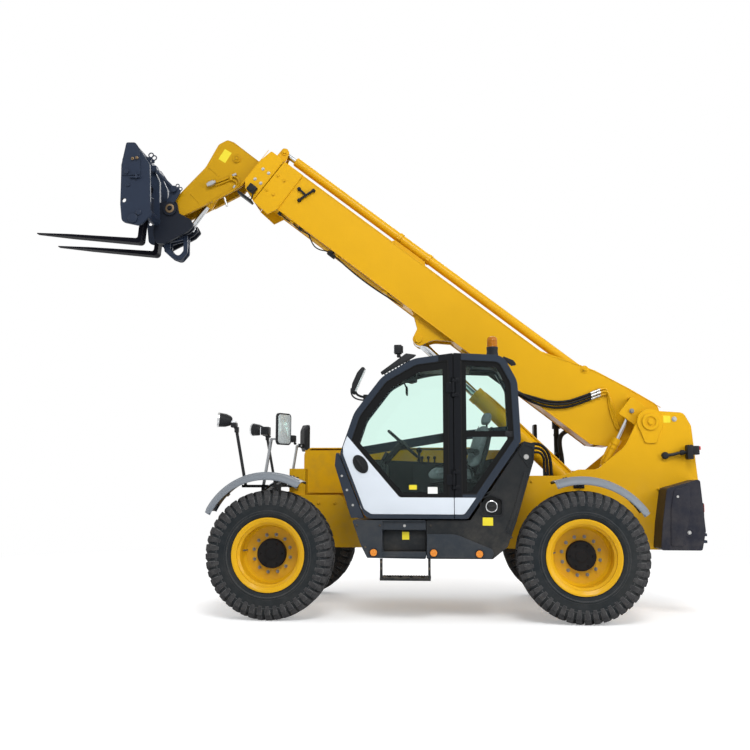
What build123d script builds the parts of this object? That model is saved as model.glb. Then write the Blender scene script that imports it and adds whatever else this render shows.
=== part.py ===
from build123d import *
import math
import os

# Telehandler: a four-wheel-steered telescopic handler with a cab on its left, an engine on its
# right and a pallet-fork carriage. Millimetres; +X forward, +Y left, +Z up. Places are measured
# from the ground midway between the axles, and the finished solids are moved back by
# MACHINE_MIDDLE, which puts the origin at the middle of the overall length. The boom stands
# raised at BOOM_ANGLE, fully retracted.

# ---------------------------------------------------------------- driving dimensions
MACHINE_MIDDLE = 736
WHEELBASE = 3000
TRACK = 2000
TYRE_RADIUS = 620
TYRE_WIDTH = 395
TYRE_SHOULDER = (34, 24)
RIM_SEAT_RADIUS = 318
RIM_FLANGE_RADIUS = 356
RIM_WIDTH = 364
KINGPIN_INSET = 240
SPINDLE_RADIUS = 60

FRAME_INNER_Y = 400
PLATE = 30
FRAME_OUTER_Y = FRAME_INNER_Y + PLATE
FRAME_BOTTOM = 645

BOOM_PIVOT = (-2320, 1940)
BOOM_ANGLE = 38
BOOM_WIDTH = 380
BOOM_TOP = -36
BOOM_DEPTH = 480
BOOM_WALL = 10
BOOM_LENGTH = 4925
PIVOT_PIN_RADIUS = 45
BOSS_RADIUS = 132

MIDDLE_WIDTH = 330
MIDDLE_TOP = -110
MIDDLE_BOTTOM = -500
INNER_WIDTH = 240
INNER_TOP = -197
INNER_BOTTOM = -486
COLLAR_BACK = 4935
COLLAR_FRONT = 5165

LIFT_BEHIND_AXLE = 453
LIFT_BASE = (-WHEELBASE / 2 - LIFT_BEHIND_AXLE, 921)
LIFT_LUG = (2465, -729)
LIFT_BARREL_RADIUS = 88
LIFT_BARREL_LENGTH = 1966
LIFT_ROD_RADIUS = 48
LIFT_ROD_LENGTH = 1900
LIFT_EYE_RADIUS = 56

TRIM_BASE = (-1842, 1436)
TRIM_LUG = (-2155, 2062)
TRIM_Y = 300
TRIM_BARREL_RADIUS = 42
TRIM_BARREL_LENGTH = 375
TRIM_ROD_RADIUS = 20
TRIM_ROD_LENGTH = 480
TRIM_EYE_RADIUS = 34

CARRIAGE_PIVOT = (2913, 4431)
TILT_BASE = (2159, 5026)
TILT_LUG = (2710, 4242)
TILT_BARREL_RADIUS = 58
TILT_BARREL_LENGTH = 640
TILT_ROD_RADIUS = 30
TILT_ROD_LENGTH = 690
TILT_EYE_RADIUS = 44

EXTEND_W = 80
EXTEND_BACK = 700
EXTEND_FRONT = 5050
EXTEND_RADIUS = 53
EXTEND_ROD_RADIUS = 32

CAB_INNER_Y = 330
CAB_OUTER_Y = 1150
CAB_WALL = 50
DOOR_THICKNESS = 45
DOOR_HINGE_X = -294
DOOR_AXIS = (-293, 1156)
HINGE_PIN = 9
HINGE_BARREL = 16
HINGE_ROOM = 22
KNUCKLE = 40

HOOD_INNER_Y = -300
HOOD_OUTER_Y = -1150
HOOD_TOP = 1712
HOOD_SKIN = 12
HOOD_CORNER = 130
HOOD_REAR = -845
HOOD_STEP = 740
HOOD_FRONT = 1402
HOOD_NOSE_Y = -750
HOOD_AXIS = (-312, 1706)
HOOD_HINGE_STARTS = (-520, 480)
HOOD_HINGE_LENGTH = 130
HOOD_KNUCKLE = 35
HOOD_BARREL = 9
HOOD_PIN = 5

POST_Y = 770
MIRROR_REACH = 112
MIRROR_X = {1: 1412, -1: 1468}
MIRROR_STAY = (36, 60)
MIRROR_TOE = 32
MIRROR_SIZE = (207, 320)

SKIRT_Y = 1140
TANK_Y = 1120
RECESS_FRONT = 398
RECESS_Y = 1060
FILLER_POCKET = [(-748, 1005), (-552, 1005), (-552, 1158), (-645, 1196), (-748, 1150)]
FILLER_DEPTH = 42
FILLER_CAP = (-651, 1087)
STEP_X = (-64, 420)
STEP_BACK = 900
STEP_Z = 388
STEP_THICKNESS = 24

ENGINE_X = (-590, 385)
ENGINE_Y = -750
ENGINE_FEET = 720
ENGINE_TOP = 1330
ENGINE_MOUNT_X = (-500, 200)
CRANK_Z = 900
CRANKCASE_WIDTH = 400
CYLINDERS = 4
MANIFOLD_Y = 215

FORK_Y = 270
FORK_WIDTH = 125
FORK_THICKNESS = 50
FORK_LENGTH = 1250
FORK_RISE = 5

RUNNING = 0.05
GAP = 6
STEER_ROOM = 18

FRONT = WHEELBASE / 2
REAR = -WHEELBASE / 2
WHEEL_Y = TRACK / 2
KINGPIN_Y = WHEEL_Y - KINGPIN_INSET
AXLE_Z = TYRE_RADIUS
BOOM_BOTTOM = BOOM_TOP - BOOM_DEPTH


# ---------------------------------------------------------------- helpers
def side_plane(y):
    return Plane(origin=(0, y, 0), x_dir=(1, 0, 0), z_dir=(0, -1, 0))


def boom_plane(y):
    lean = math.radians(BOOM_ANGLE)
    origin = (BOOM_PIVOT[0], y, BOOM_PIVOT[1])
    return Plane(origin=origin, x_dir=(math.cos(lean), 0, math.sin(lean)), z_dir=(0, -1, 0))


def outline(points, radii):
    if radii:
        return make_face(FilletPolyline(*points, radius=radii, close=True))
    return make_face(Polyline(*points, close=True))


def prism(points, y_low, y_high, radii=0, plane=side_plane):
    """A side-view outline, thickened from y_low to y_high."""
    return extrude(plane(y_high) * outline(points, radii), amount=y_high - y_low)


def boom_prism(points, y_low, y_high, radii=0):
    return prism(points, y_low, y_high, radii, boom_plane)


def both_sides(solid):
    return [solid, mirror(solid, about=Plane.XZ)]


def block(x_range, y_range, z_range):
    size = [high - low for low, high in (x_range, y_range, z_range)]
    centre = [(high + low) / 2 for low, high in (x_range, y_range, z_range)]
    return Pos(*centre) * Box(*size)


def y_rod(place, radius, y_low, y_high):
    plane = Plane(origin=(place[0], y_low, place[1]), z_dir=(0, 1, 0))
    height = y_high - y_low
    return plane * Cylinder(radius, height, align=(Align.CENTER, Align.CENTER, Align.MIN))


def z_rod(place, radius, z_low, z_high):
    plane = Plane(origin=(place[0], place[1], z_low))
    height = z_high - z_low
    return plane * Cylinder(radius, height, align=(Align.CENTER, Align.CENTER, Align.MIN))


def x_rod(place, radius, x_low, x_high):
    """A round bar along X through the (y, z) place."""
    plane = Plane(origin=(x_low, place[0], place[1]), z_dir=(1, 0, 0))
    return extrude(plane * Circle(radius), amount=x_high - x_low)


def along(start, end, radius, length_from, length_to, y=0):
    """A round bar in a plane of constant y, along the line from start to end."""
    direction = (end[0] - start[0], 0, end[1] - start[1])
    plane = Plane(origin=(start[0], y, start[1]), z_dir=direction)
    bar = Cylinder(radius, length_to - length_from, align=(Align.CENTER, Align.CENTER, Align.MIN))
    return plane * Pos(0, 0, length_from) * bar


def boom_point(u, w):
    """A place along and above the boom, in the side view."""
    lean = math.radians(BOOM_ANGLE)
    x = BOOM_PIVOT[0] + u * math.cos(lean) - w * math.sin(lean)
    z = BOOM_PIVOT[1] + u * math.sin(lean) + w * math.cos(lean)
    return (x, z)


def around(centre, points):
    return [(centre[0] + dx, centre[1] + dz) for dx, dz in points]


def spun(profile, centre_y, place):
    """A ring turned about the Y axis through place, from (offset, radius) points."""
    face = make_face(Polyline(*[(offset, radius) for offset, radius in profile], close=True))
    turned = revolve(face, axis=Axis.X)
    return Pos(place[0], centre_y, place[1]) * Rot(0, 0, 90) * turned


def eye_cylinder_barrel(base, tip, y, size):
    """A hydraulic barrel: a bored tube with an eye at its base."""
    tube = along(base, tip, size["barrel"], size["eye"] + 20, size["length"], y)
    tube += along(base, tip, size["half"] * 0.9, size["eye"] * 0.8, size["eye"] + 21, y)
    gland = along(base, tip, size["barrel"] + 6, size["length"] - 70, size["length"], y)
    eye = y_rod(base, size["eye"], y - size["half"], y + size["half"])
    bore = along(base, tip, size["rod"] + RUNNING, size["eye"] + 35, size["length"] + 1, y)
    hole = y_rod(base, size["pin"] + RUNNING, y - size["half"] - 1, y + size["half"] + 1)
    return tube + gland + eye - bore - hole


def eye_cylinder_rod(base, tip, y, size):
    """A hydraulic rod with an eye at its tip; the pin stays in the eye, short of the lug's ears."""
    reach = math.dist(base, tip)
    bar = along(base, tip, size["rod"], reach - size["rod_length"], reach - size["eye"] * 0.8, y)
    eye = y_rod(tip, size["eye"], y - size["half"], y + size["half"])
    pin = y_rod(tip, size["pin"], y - size["reach"], y + size["reach"])
    return bar + eye + pin


LIFT = dict(barrel=LIFT_BARREL_RADIUS, length=LIFT_BARREL_LENGTH, rod=LIFT_ROD_RADIUS,
            rod_length=LIFT_ROD_LENGTH, eye=LIFT_EYE_RADIUS, half=50, pin=30, reach=94)
TRIM = dict(barrel=TRIM_BARREL_RADIUS, length=TRIM_BARREL_LENGTH, rod=TRIM_ROD_RADIUS,
            rod_length=TRIM_ROD_LENGTH, eye=TRIM_EYE_RADIUS, half=24, pin=17, reach=32)
TILT = dict(barrel=TILT_BARREL_RADIUS, length=TILT_BARREL_LENGTH, rod=TILT_ROD_RADIUS,
            rod_length=TILT_ROD_LENGTH, eye=TILT_EYE_RADIUS, half=38, pin=24, reach=44)

pieces = {}

# ---------------------------------------------------------------- main frame
# outline of a side plate: x, z, corner radius
FRAME_PLATE = [
    (-2700, FRAME_BOTTOM, 30),
    (-2778, 1340, 60),
    (-2732, 1900, 80),
    (-2660, 2036, 70),
    (-2250, 2065, 15),
    (-2060, 1690, 320),
    (-1770, 1452, 120),
    (-1580, 1452, 80),
    (-1413, 1388, 80),
    (-950, 1388, 40),
    (-860, 950, 30),
    (760, 950, 40),
    (880, 1185, 60),
    (1480, 1185, 80),
    (2020, 1000, 60),
    (2020, 790, 40),
    (1300, 790, 60),
    (1180, FRAME_BOTTOM, 60),
    (REAR + 240, FRAME_BOTTOM, 60),
    (REAR + 170, 790, 40),
    (REAR - 170, 790, 40),
    (REAR - 240, FRAME_BOTTOM, 60),
]


def frame_side_plates():
    points = [(x, z) for x, z, _ in FRAME_PLATE]
    radii = [radius for _, _, radius in FRAME_PLATE]
    plate = prism(points, FRAME_INNER_Y, FRAME_OUTER_Y, radii)
    plate -= y_rod(BOOM_PIVOT, PIVOT_PIN_RADIUS, FRAME_INNER_Y - 1, FRAME_OUTER_Y + 1)
    return Compound(both_sides(plate))


def frame_cross_members():
    y_span = (-FRAME_INNER_Y, FRAME_INNER_Y)
    belly = block((-1180, 1120), y_span, (FRAME_BOTTOM, FRAME_BOTTOM + 20))
    members = [belly]
    for centre in (FRONT, REAR):
        members.append(block((centre - 120, centre + 120), y_span, (795, 835)))
    lift_beam = block((LIFT_BASE[0] - 90, LIFT_BASE[0] + 90), y_span, (760, 810))
    for side in (-1, 1):
        ear_y = sorted((side * 60, side * 90))
        ear = block((LIFT_BASE[0] - 55, LIFT_BASE[0] + 55), ear_y, (800, LIFT_BASE[1]))
        lift_beam += ear + y_rod(LIFT_BASE, 55, *ear_y)
    lift_beam += y_rod(LIFT_BASE, LIFT["pin"], -110, 110)
    members.append(lift_beam)
    nose = block((1270, 1440), (240, FRAME_INNER_Y), (1080, 1460))
    nose += block((1900, 1960), y_span, (820, 960))
    members += nose.solids()
    trim_pin = y_rod(TRIM_BASE, TRIM["pin"], TRIM_Y - 32, FRAME_INNER_Y)
    trim_pin += y_rod(TRIM_BASE, 40, TRIM_Y + TRIM_BARREL_RADIUS + 14, FRAME_INNER_Y)
    members.append(trim_pin)
    return Compound(members)


def boom_pivot_pin():
    pin = y_rod(BOOM_PIVOT, PIVOT_PIN_RADIUS, -FRAME_OUTER_Y, FRAME_OUTER_Y)
    lobe = around(BOOM_PIVOT, [(-118, -50), (-55, -218), (55, -218), (118, -50)])
    for side in (-1, 1):
        flange = sorted((side * FRAME_OUTER_Y, side * (FRAME_OUTER_Y + 15)))
        pin += y_rod(BOOM_PIVOT, BOSS_RADIUS, *flange) + prism(lobe, *flange, [0, 30, 30, 0])
        pin += y_rod(BOOM_PIVOT, 84, *sorted((side * FRAME_OUTER_Y, side * (FRAME_OUTER_Y + 32))))
        pin -= y_rod(BOOM_PIVOT, 56, *sorted((side * (FRAME_OUTER_Y + 22), side * (FRAME_OUTER_Y + 33))))
        pin += y_rod(BOOM_PIVOT, 28, *sorted((side * (FRAME_OUTER_Y + 20), side * (FRAME_OUTER_Y + 40))))
    return pin


def rear_counterweight():
    points = [(-2405, 700), (-2640, 665), (-2702, 665), (-2760, 1340), (-2405, 1340)]
    body = prism(points, -FRAME_INNER_Y, FRAME_INNER_Y, 20)
    return body


def tow_hitch():
    jaw = block((-2950, -2700), (-60, 60), (690, 790))
    jaw -= block((-2951, -2790), (-61, 61), (718, 762))
    jaw -= z_rod((-2880, 0), 20, 680, 800)
    return jaw - block((-2715, -2699), (-61, 61), (689, 791))


def rear_bumpers():
    points = [(-2305, 662), (-2330, 914), (-2385, 1262), (-2705, 1354), (-2740, 850), (-2700, 662)]
    return Compound(both_sides(prism(points, FRAME_OUTER_Y, 745, 25)))


# ---------------------------------------------------------------- axles, knuckles and wheels
YOKE_Z = (120, 165)


def axle(x):
    beam = Pos(x, 0, AXLE_Z) * scale(Sphere(150), by=(1, 1.15, 1))
    nose = 1 if x < 0 else -1
    flange = Plane(origin=(x, 0, AXLE_Z), z_dir=(nose, 0, 0)) * Pos(0, 0, 100)
    beam += flange * Cone(95, 60, 150)
    for side in (-1, 1):
        arm = Plane(origin=(x, side * 90, AXLE_Z), z_dir=(0, side, 0))
        beam += arm * Cone(118, 74, KINGPIN_Y - 260, align=(Align.CENTER, Align.CENTER, Align.MIN))
        beam += block((x - 100, x + 100), sorted((side * 230, side * 350)), (AXLE_Z, 795))
    for side in (-1, 1):
        web_y = sorted((side * (KINGPIN_Y - 200), side * (KINGPIN_Y - 150)))
        beam += block((x - 70, x + 70), web_y, (AXLE_Z - YOKE_Z[1], AXLE_Z + YOKE_Z[1]))
        for low, high in (YOKE_Z, (-YOKE_Z[1], -YOKE_Z[0])):
            ear_y = sorted((side * (KINGPIN_Y - 200), side * KINGPIN_Y))
            ear = block((x - 70, x + 70), ear_y, (AXLE_Z + low, AXLE_Z + high))
            ear += z_rod((x, side * KINGPIN_Y), 70, AXLE_Z + low, AXLE_Z + high)
            ear -= z_rod((x, side * KINGPIN_Y), 30 + RUNNING, AXLE_Z - 200, AXLE_Z + 200)
            beam += ear
    return beam


def knuckle(x, side):
    place = (x, side * KINGPIN_Y)
    body = z_rod(place, 72, AXLE_Z - YOKE_Z[0] + GAP, AXLE_Z + YOKE_Z[0] - GAP)
    body += z_rod(place, 30, AXLE_Z - YOKE_Z[1], AXLE_Z + YOKE_Z[1])
    body += y_rod((x, AXLE_Z), 95, *sorted((side * KINGPIN_Y, side * (WHEEL_Y - 100))))
    body += y_rod((x, AXLE_Z), 150, *sorted((side * (WHEEL_Y - 150), side * (WHEEL_Y - 85))))
    spindle_y = sorted((side * (WHEEL_Y - 100), side * (WHEEL_Y - 42)))
    body += y_rod((x, AXLE_Z), SPINDLE_RADIUS, *spindle_y)
    return body


def rim(x, side):
    half = RIM_WIDTH / 2
    seat = RIM_SEAT_RADIUS
    lip = RIM_FLANGE_RADIUS
    disc = -50
    profile = [
        (-half, lip), (-half, lip - 14), (-half + 16, seat - 10), (-half + 70, seat - 10), (-half + 90, seat - 34),
        (disc - 22, seat - 34), (disc - 22, SPINDLE_RADIUS + RUNNING), (disc + 10, SPINDLE_RADIUS + RUNNING),
        (disc + 10, 0), (disc + 52, 0), (disc + 52, 120), (disc + 30, 143), (disc, 143), (disc, seat - 60),
        (disc + 30, seat - 34), (half - 60, seat - 34), (half - 40, seat - 10), (half - 16, seat - 10),
        (half, lip - 14), (half, lip), (half - 10, lip), (half - 20, seat), (half - 60, seat),
        (-half + 20, seat), (-half + 10, lip),
    ]
    if side < 0:
        profile = [(-offset, radius) for offset, radius in profile]
    return spun([(offset, radius) for offset, radius in profile], side * WHEEL_Y, (x, AXLE_Z))


def steered_sweep(x, side):
    """The ball that a steered tyre's shoulders stay within, with room to spare."""
    reach = math.hypot(TYRE_RADIUS - TYRE_SHOULDER[1], WHEEL_Y + TYRE_WIDTH / 2 - TYRE_SHOULDER[0] - KINGPIN_Y)
    return Pos(x, side * KINGPIN_Y, AXLE_Z) * Sphere(reach + STEER_ROOM)


def tyre(x, side):
    half = TYRE_WIDTH / 2
    inside = RIM_WIDTH / 2 - 24
    profile = [
        (-inside, RIM_SEAT_RADIUS), (-inside + 8, RIM_SEAT_RADIUS + 45), (-half + 6, 400), (-half, TYRE_RADIUS - 150),
        (-half + 10, TYRE_RADIUS - 80), (-half + TYRE_SHOULDER[0], TYRE_RADIUS - TYRE_SHOULDER[1]),
        (-half + 60, TYRE_RADIUS - 8), (0, TYRE_RADIUS), (half - 60, TYRE_RADIUS - 8),
        (half - TYRE_SHOULDER[0], TYRE_RADIUS - TYRE_SHOULDER[1]), (half - 10, TYRE_RADIUS - 80),
        (half, TYRE_RADIUS - 150), (half - 6, 400), (inside - 8, RIM_SEAT_RADIUS + 45),
        (inside, RIM_SEAT_RADIUS),
    ]
    return spun(profile, side * WHEEL_Y, (x, AXLE_Z))


CORNERS = [("front_left", FRONT, 1), ("front_right", FRONT, -1), ("rear_left", REAR, 1), ("rear_right", REAR, -1)]


# ---------------------------------------------------------------- fenders, lamps, mirrors
# a fender's outer face runs through three points from the wheel's centre: start, crown, end
FRONT_FENDER = ((-307, 690), (127, 776), (632, 405))
REAR_FENDER = ((254, 697), (-129, 731), (-655, 348))
FENDER_SKIN = 12
FENDER_LIP = 42
FENDER_INNER_Y = WHEEL_Y - 200
FENDER_OUTER_Y = WHEEL_Y + 195


def fender_band(centre_x, rows, depth, y_low, y_high):
    """A curved strip under the fender's outer line, depth thick."""
    start, crown, end = rows
    outer = ThreePointArc(start, crown, end)
    middle = Vector(*outer.arc_center)
    lines = [outer]
    inner = [middle + (Vector(*spot) - middle) * (1 - depth / outer.radius) for spot in rows]
    lines.append(ThreePointArc(inner[0], inner[1], inner[2]))
    lines.append(Line(lines[0] @ 0, lines[1] @ 0))
    lines.append(Line(lines[0] @ 1, lines[1] @ 1))
    plane = Plane(origin=(centre_x, y_high, AXLE_Z), x_dir=(1, 0, 0), z_dir=(0, -1, 0))
    return extrude(plane * make_face(lines), amount=y_high - y_low)


def fender_pair(centre_x, rows, bracket_x):
    pair = []
    for side in (-1, 1):
        skin = sorted((side * FENDER_INNER_Y, side * FENDER_OUTER_Y))
        lip = sorted((side * (FENDER_OUTER_Y - FENDER_SKIN), side * FENDER_OUTER_Y))
        solid = fender_band(centre_x, rows, FENDER_SKIN, *skin) + fender_band(centre_x, rows, FENDER_LIP, *lip)
        x = centre_x + bracket_x
        arm = block((x - 22, x + 22), sorted((side * FRAME_OUTER_Y, side * (FENDER_INNER_Y + 60))), (1300, 1336))
        room = block((x - 40, x + 40), sorted((side * FRAME_OUTER_Y, side * (FENDER_INNER_Y + 61))), (1200, 1460))
        arm += fender_band(centre_x, rows, 50, *skin) & room & block(
            (x - 22, x + 22), sorted((side * (FENDER_INNER_Y + 10), side * (FENDER_INNER_Y + 50))), (1200, 1460))
        pair.append(solid + arm)
    return pair


def front_fenders():
    return Compound(fender_pair(FRONT, FRONT_FENDER, -110))


def rear_fenders():
    return Compound(fender_pair(REAR, REAR_FENDER, -80))


def lamp_posts():
    posts = []
    for side in (-1, 1):
        y = side * POST_Y
        foot = block((1590, 1860), (y - 16, y + 16), (1262, 1290))
        foot += block((1690, 1730), sorted((side * FRAME_OUTER_Y, side * POST_Y)), (1262, 1290))
        foot += block((1690, 1730), sorted((side * FRAME_OUTER_Y, side * (FRAME_OUTER_Y + 20))), (1000, 1290))
        foot += along((1822, 1275), (1930, 1840), 16, 0, 575, y)
        foot += along((1640, 1275), (1565, 1760), 16, 0, 490, y)
        foot += block((MIRROR_X[side] + MIRROR_STAY[0], 1570), (y - 10, y + 10), (1745, 1765))
        posts.append(foot)
    return Compound(posts)


def front_lamps():
    lamps = []
    for side in (-1, 1):
        y = side * POST_Y
        head = block((1975, 2135), (y - 75, y + 75), (1870, 2020))
        head = fillet(head.edges(), 26)
        lamps.append(head + block((1915, 1990), (y - 20, y + 20), (1848, 1895)))
        shell = block((1575, 1670), (y - 55, y + 55), (1785, 1885))
        lamps.append(fillet(shell.edges(), 18) + z_rod((1590, y), 12, 1766, 1800))
    return Compound(lamps)


def mirrors():
    """Mirror heads, glass to the rear and turned out; the right one stands clear of the open hood."""
    heads = []
    width, height = MIRROR_SIZE
    toe = math.radians(MIRROR_TOE)
    for side in (-1, 1):
        outward = (math.sin(toe), side * math.cos(toe), 0)
        forward = (math.cos(toe), -side * math.sin(toe), 0)
        middle = (MIRROR_X[side], side * (POST_Y + MIRROR_REACH), 1850)
        face = Plane(origin=middle, x_dir=outward, z_dir=forward)
        sections = [
            face * RectangleRounded(width, height, 40),
            face.offset(22) * RectangleRounded(width, height, 40),
            face.offset(58) * RectangleRounded(width - 77, height - 100, 40),
        ]
        stay_x = (MIRROR_X[side] + MIRROR_STAY[0], MIRROR_X[side] + MIRROR_STAY[1])
        stay = block(stay_x, sorted((side * (POST_Y + 10), side * (POST_Y + 82))), (1745, 1765))
        heads.append(loft(sections, ruled=True) + stay)
    return Compound(heads)


# ---------------------------------------------------------------- cab
# outline of the cab's side: x, z, corner radius
CAB_SIDE = [
    (-423, 970, 40), (560, 970, 90), (812, 1588, 60), (674, 1990, 300), (400, 2345, 300), (90, 2520, 260),
    (-300, 2572, 200), (-780, 2545, 150), (-912, 2290, 200), (-937, 1710, 60),
]


def cab_side(inset):
    points = [(x, z) for x, z, _ in CAB_SIDE]
    radii = [radius for _, _, radius in CAB_SIDE]
    face = outline(points, radii)
    if inset:
        face = offset(face, amount=-inset)
    return face


def cab_slab(inset, y_low, y_high):
    return extrude(side_plane(y_high) * cab_side(inset), amount=y_high - y_low)


def half_space(x_low, x_high, y_low=0, y_high=1300):
    return block((x_low, x_high), (y_low, y_high), (900, 2700))


# the right-hand side has a window above a sloping rail and another below it
RIGHT_WINDOWS = [
    [(-1000, 1920), (-254, 1845), (900, 1655), (900, 2700), (-1000, 2700)],
    [(-1000, 1825), (-254, 1750), (900, 1560), (900, 1170), (-1000, 1170)],
]
SCREEN_Z = (1180, 2440)
HINGE_Z = ((1290, 1390), (2180, 2280))


def cab_frame():
    ring = cab_slab(0, CAB_INNER_Y, CAB_OUTER_Y - DOOR_THICKNESS - GAP)
    ring -= cab_slab(CAB_WALL, CAB_INNER_Y + CAB_WALL, CAB_OUTER_Y)
    # window openings in the curved shell: front, roof and rear
    ring -= block((250, 1000), (CAB_INNER_Y + 90, CAB_OUTER_Y - 140), SCREEN_Z)
    ring -= block((-500, 60), (CAB_INNER_Y + 90, CAB_OUTER_Y - 140), (2480, 2700))
    ring -= block((-1000, -800), (CAB_INNER_Y + 90, CAB_OUTER_Y - 140), (1800, 2380))
    # right-hand window
    for sill in RIGHT_WINDOWS:
        ring -= cab_slab(70, CAB_INNER_Y - 1, CAB_INNER_Y + CAB_WALL + 1) & prism(sill, 0, 500)
    # left side behind the door: frame ring with a door opening and a quarter window
    quarter = cab_slab(0, CAB_OUTER_Y - DOOR_THICKNESS - GAP, CAB_OUTER_Y)
    quarter &= half_space(-1200, DOOR_HINGE_X - 4)
    quarter -= cab_slab(65, CAB_OUTER_Y - 200, CAB_OUTER_Y + 1) & block((-1000, -365), (900, 1300), (1200, 2700))
    ring += quarter
    post = block((-355, -262), (CAB_OUTER_Y - 100, CAB_OUTER_Y - DOOR_THICKNESS - GAP), (1051, 2540))
    ring += post
    # each hinge: two fixed knuckles on strap plates, and the pin that the door's knuckle turns on
    strap_x = (DOOR_AXIS[0] - 60, DOOR_AXIS[0] - 4)
    strap_y = (CAB_OUTER_Y - 20, CAB_OUTER_Y + 6)
    for low, high in HINGE_Z:
        ring -= z_rod(DOOR_AXIS, HINGE_ROOM, low - KNUCKLE - GAP, high + KNUCKLE + GAP)
        for bottom in (low - KNUCKLE, high + GAP):
            top = bottom + KNUCKLE - GAP
            ring += z_rod(DOOR_AXIS, HINGE_BARREL, bottom, top) + block(strap_x, strap_y, (bottom, top))
        ring += z_rod(DOOR_AXIS, HINGE_PIN, low - KNUCKLE, high + KNUCKLE)
    return ring


def cab_floor():
    deck = cab_slab(CAB_WALL, CAB_INNER_Y + CAB_WALL, CAB_OUTER_Y - DOOR_THICKNESS - GAP)
    return deck & block((-700, 800), (0, 1300), (1000, 1050))


def cab_windows():
    glass = []
    skin = cab_slab(14, CAB_INNER_Y, CAB_OUTER_Y - 100) - cab_slab(20, CAB_INNER_Y, CAB_OUTER_Y - 100)
    glass.append(skin & block((250, 1000), (CAB_INNER_Y + 90, CAB_OUTER_Y - 140), SCREEN_Z))
    glass.append(skin & block((-500, 60), (CAB_INNER_Y + 90, CAB_OUTER_Y - 140), (2480, 2700)))
    glass.append(skin & block((-1000, -800), (CAB_INNER_Y + 90, CAB_OUTER_Y - 140), (1800, 2380)))
    for sill in RIGHT_WINDOWS:
        glass.append(cab_slab(70, CAB_INNER_Y + 20, CAB_INNER_Y + 26) & prism(sill, 0, 500))
    quarter = cab_slab(65, CAB_OUTER_Y - 26, CAB_OUTER_Y - 20) & block((-1000, -365), (900, 1300), (1200, 2700))
    glass.append(quarter)
    return Compound([solid for pane in glass for solid in pane.solids()])


def cab_door():
    y_low = CAB_OUTER_Y - DOOR_THICKNESS
    door = cab_slab(0, y_low, CAB_OUTER_Y) & half_space(DOOR_HINGE_X + 4, 1000)
    window = cab_slab(62, y_low - 1, CAB_OUTER_Y + 1) & half_space(-250, 1000)
    corner = [(-400, 1170), (230, 1170), (700, 1715), (900, 1715), (900, 900), (-400, 900)]
    window -= prism(corner, y_low - 2, CAB_OUTER_Y + 2)
    door -= window
    for low, high in HINGE_Z:
        door -= z_rod(DOOR_AXIS, HINGE_ROOM, low - KNUCKLE - GAP, high + KNUCKLE + GAP)
        strap = block((DOOR_AXIS[0] + 4, DOOR_AXIS[0] + 70), (CAB_OUTER_Y - 2, CAB_OUTER_Y + 10), (low, high))
        door += z_rod(DOOR_AXIS, HINGE_BARREL, low, high) + strap
        door -= z_rod(DOOR_AXIS, HINGE_PIN + RUNNING, low - 1, high + 1)
    return door


def door_glass():
    y_high = CAB_OUTER_Y - 18
    pane = cab_slab(62, y_high - 6, y_high) & half_space(-250, 1000)
    corner = [(-400, 1170), (230, 1170), (700, 1715), (900, 1715), (900, 900), (-400, 900)]
    return pane - prism(corner, y_high - 10, y_high + 10)


def operator_seat():
    y_mid = 760
    base = block((-400, -120), (y_mid - 180, y_mid + 180), (1050, 1330))
    cushion = block((-540, -20), (y_mid - 250, y_mid + 250), (1330, 1450))
    back_points = [(-540, 1450), (-400, 1450), (-560, 2020), (-680, 2020)]
    back = prism(back_points, y_mid - 240, y_mid + 240, 30)
    return base + cushion + back


def cab_controls():
    dash = prism([(330, 1050), (510, 1050), (570, 1440), (420, 1520), (370, 1480)], 560, 960, 20)
    column = along((430, 1480), (215, 1720), 32, 0, 300, 760)
    console = block((-300, 130), (400, 500), (1050, 1500))
    wheel_plane = Plane(origin=(215, 760, 1705), z_dir=(-215, 0, 240))
    wheel = wheel_plane * Torus(190, 16)
    spokes = wheel_plane * Box(370, 30, 14) + wheel_plane * Box(30, 370, 14)
    lever = z_rod((60, 450), 14, 1500, 1640) + Pos(60, 450, 1650) * Sphere(32)
    return Compound([dash + column + wheel + spokes, console + lever])


def side_skirts():
    points = [(690, 955), (604, 719), (542, 598), (-20, 592), (-20, 955)]
    front = prism(points, FRAME_OUTER_Y, SKIRT_Y, 15)
    front -= block((-30, RECESS_FRONT), (RECESS_Y, SKIRT_Y + 10), (600, 945))
    x_range = (-20, RECESS_FRONT + 2)
    upper = block(x_range, (RECESS_Y, SKIRT_Y - 20), (860, 946))
    lower = block(x_range, (RECESS_Y, SKIRT_Y - 10), (599, 657))
    for bar in (upper, lower):
        front += fillet(bar.edges().filter_by(Axis.X).group_by(Axis.Y)[-1], 10)
    return front


def fuel_tank():
    points = [
        (-26, 592), (-653, 594), (-793, 708), (-883, 952), (-1055, 1521), (-1070, 1684), (-965, 1712), (-445, 957),
        (-26, 957),
    ]
    tank = prism(points, FRAME_OUTER_Y, TANK_Y, 15) - steered_sweep(REAR, 1)
    pocket = prism(FILLER_POCKET, TANK_Y - FILLER_DEPTH, TANK_Y + 1, 28)
    tank -= pocket
    cap_bottom = TANK_Y - FILLER_DEPTH
    tank += y_rod(FILLER_CAP, 48, cap_bottom, cap_bottom + 30)
    grip = block((FILLER_CAP[0] - 36, FILLER_CAP[0] + 36), (cap_bottom + 28, cap_bottom + 38),
                 (FILLER_CAP[1] - 9, FILLER_CAP[1] + 9))
    tank += fillet(grip.edges().filter_by(Axis.Y), 8)
    return tank


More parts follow.
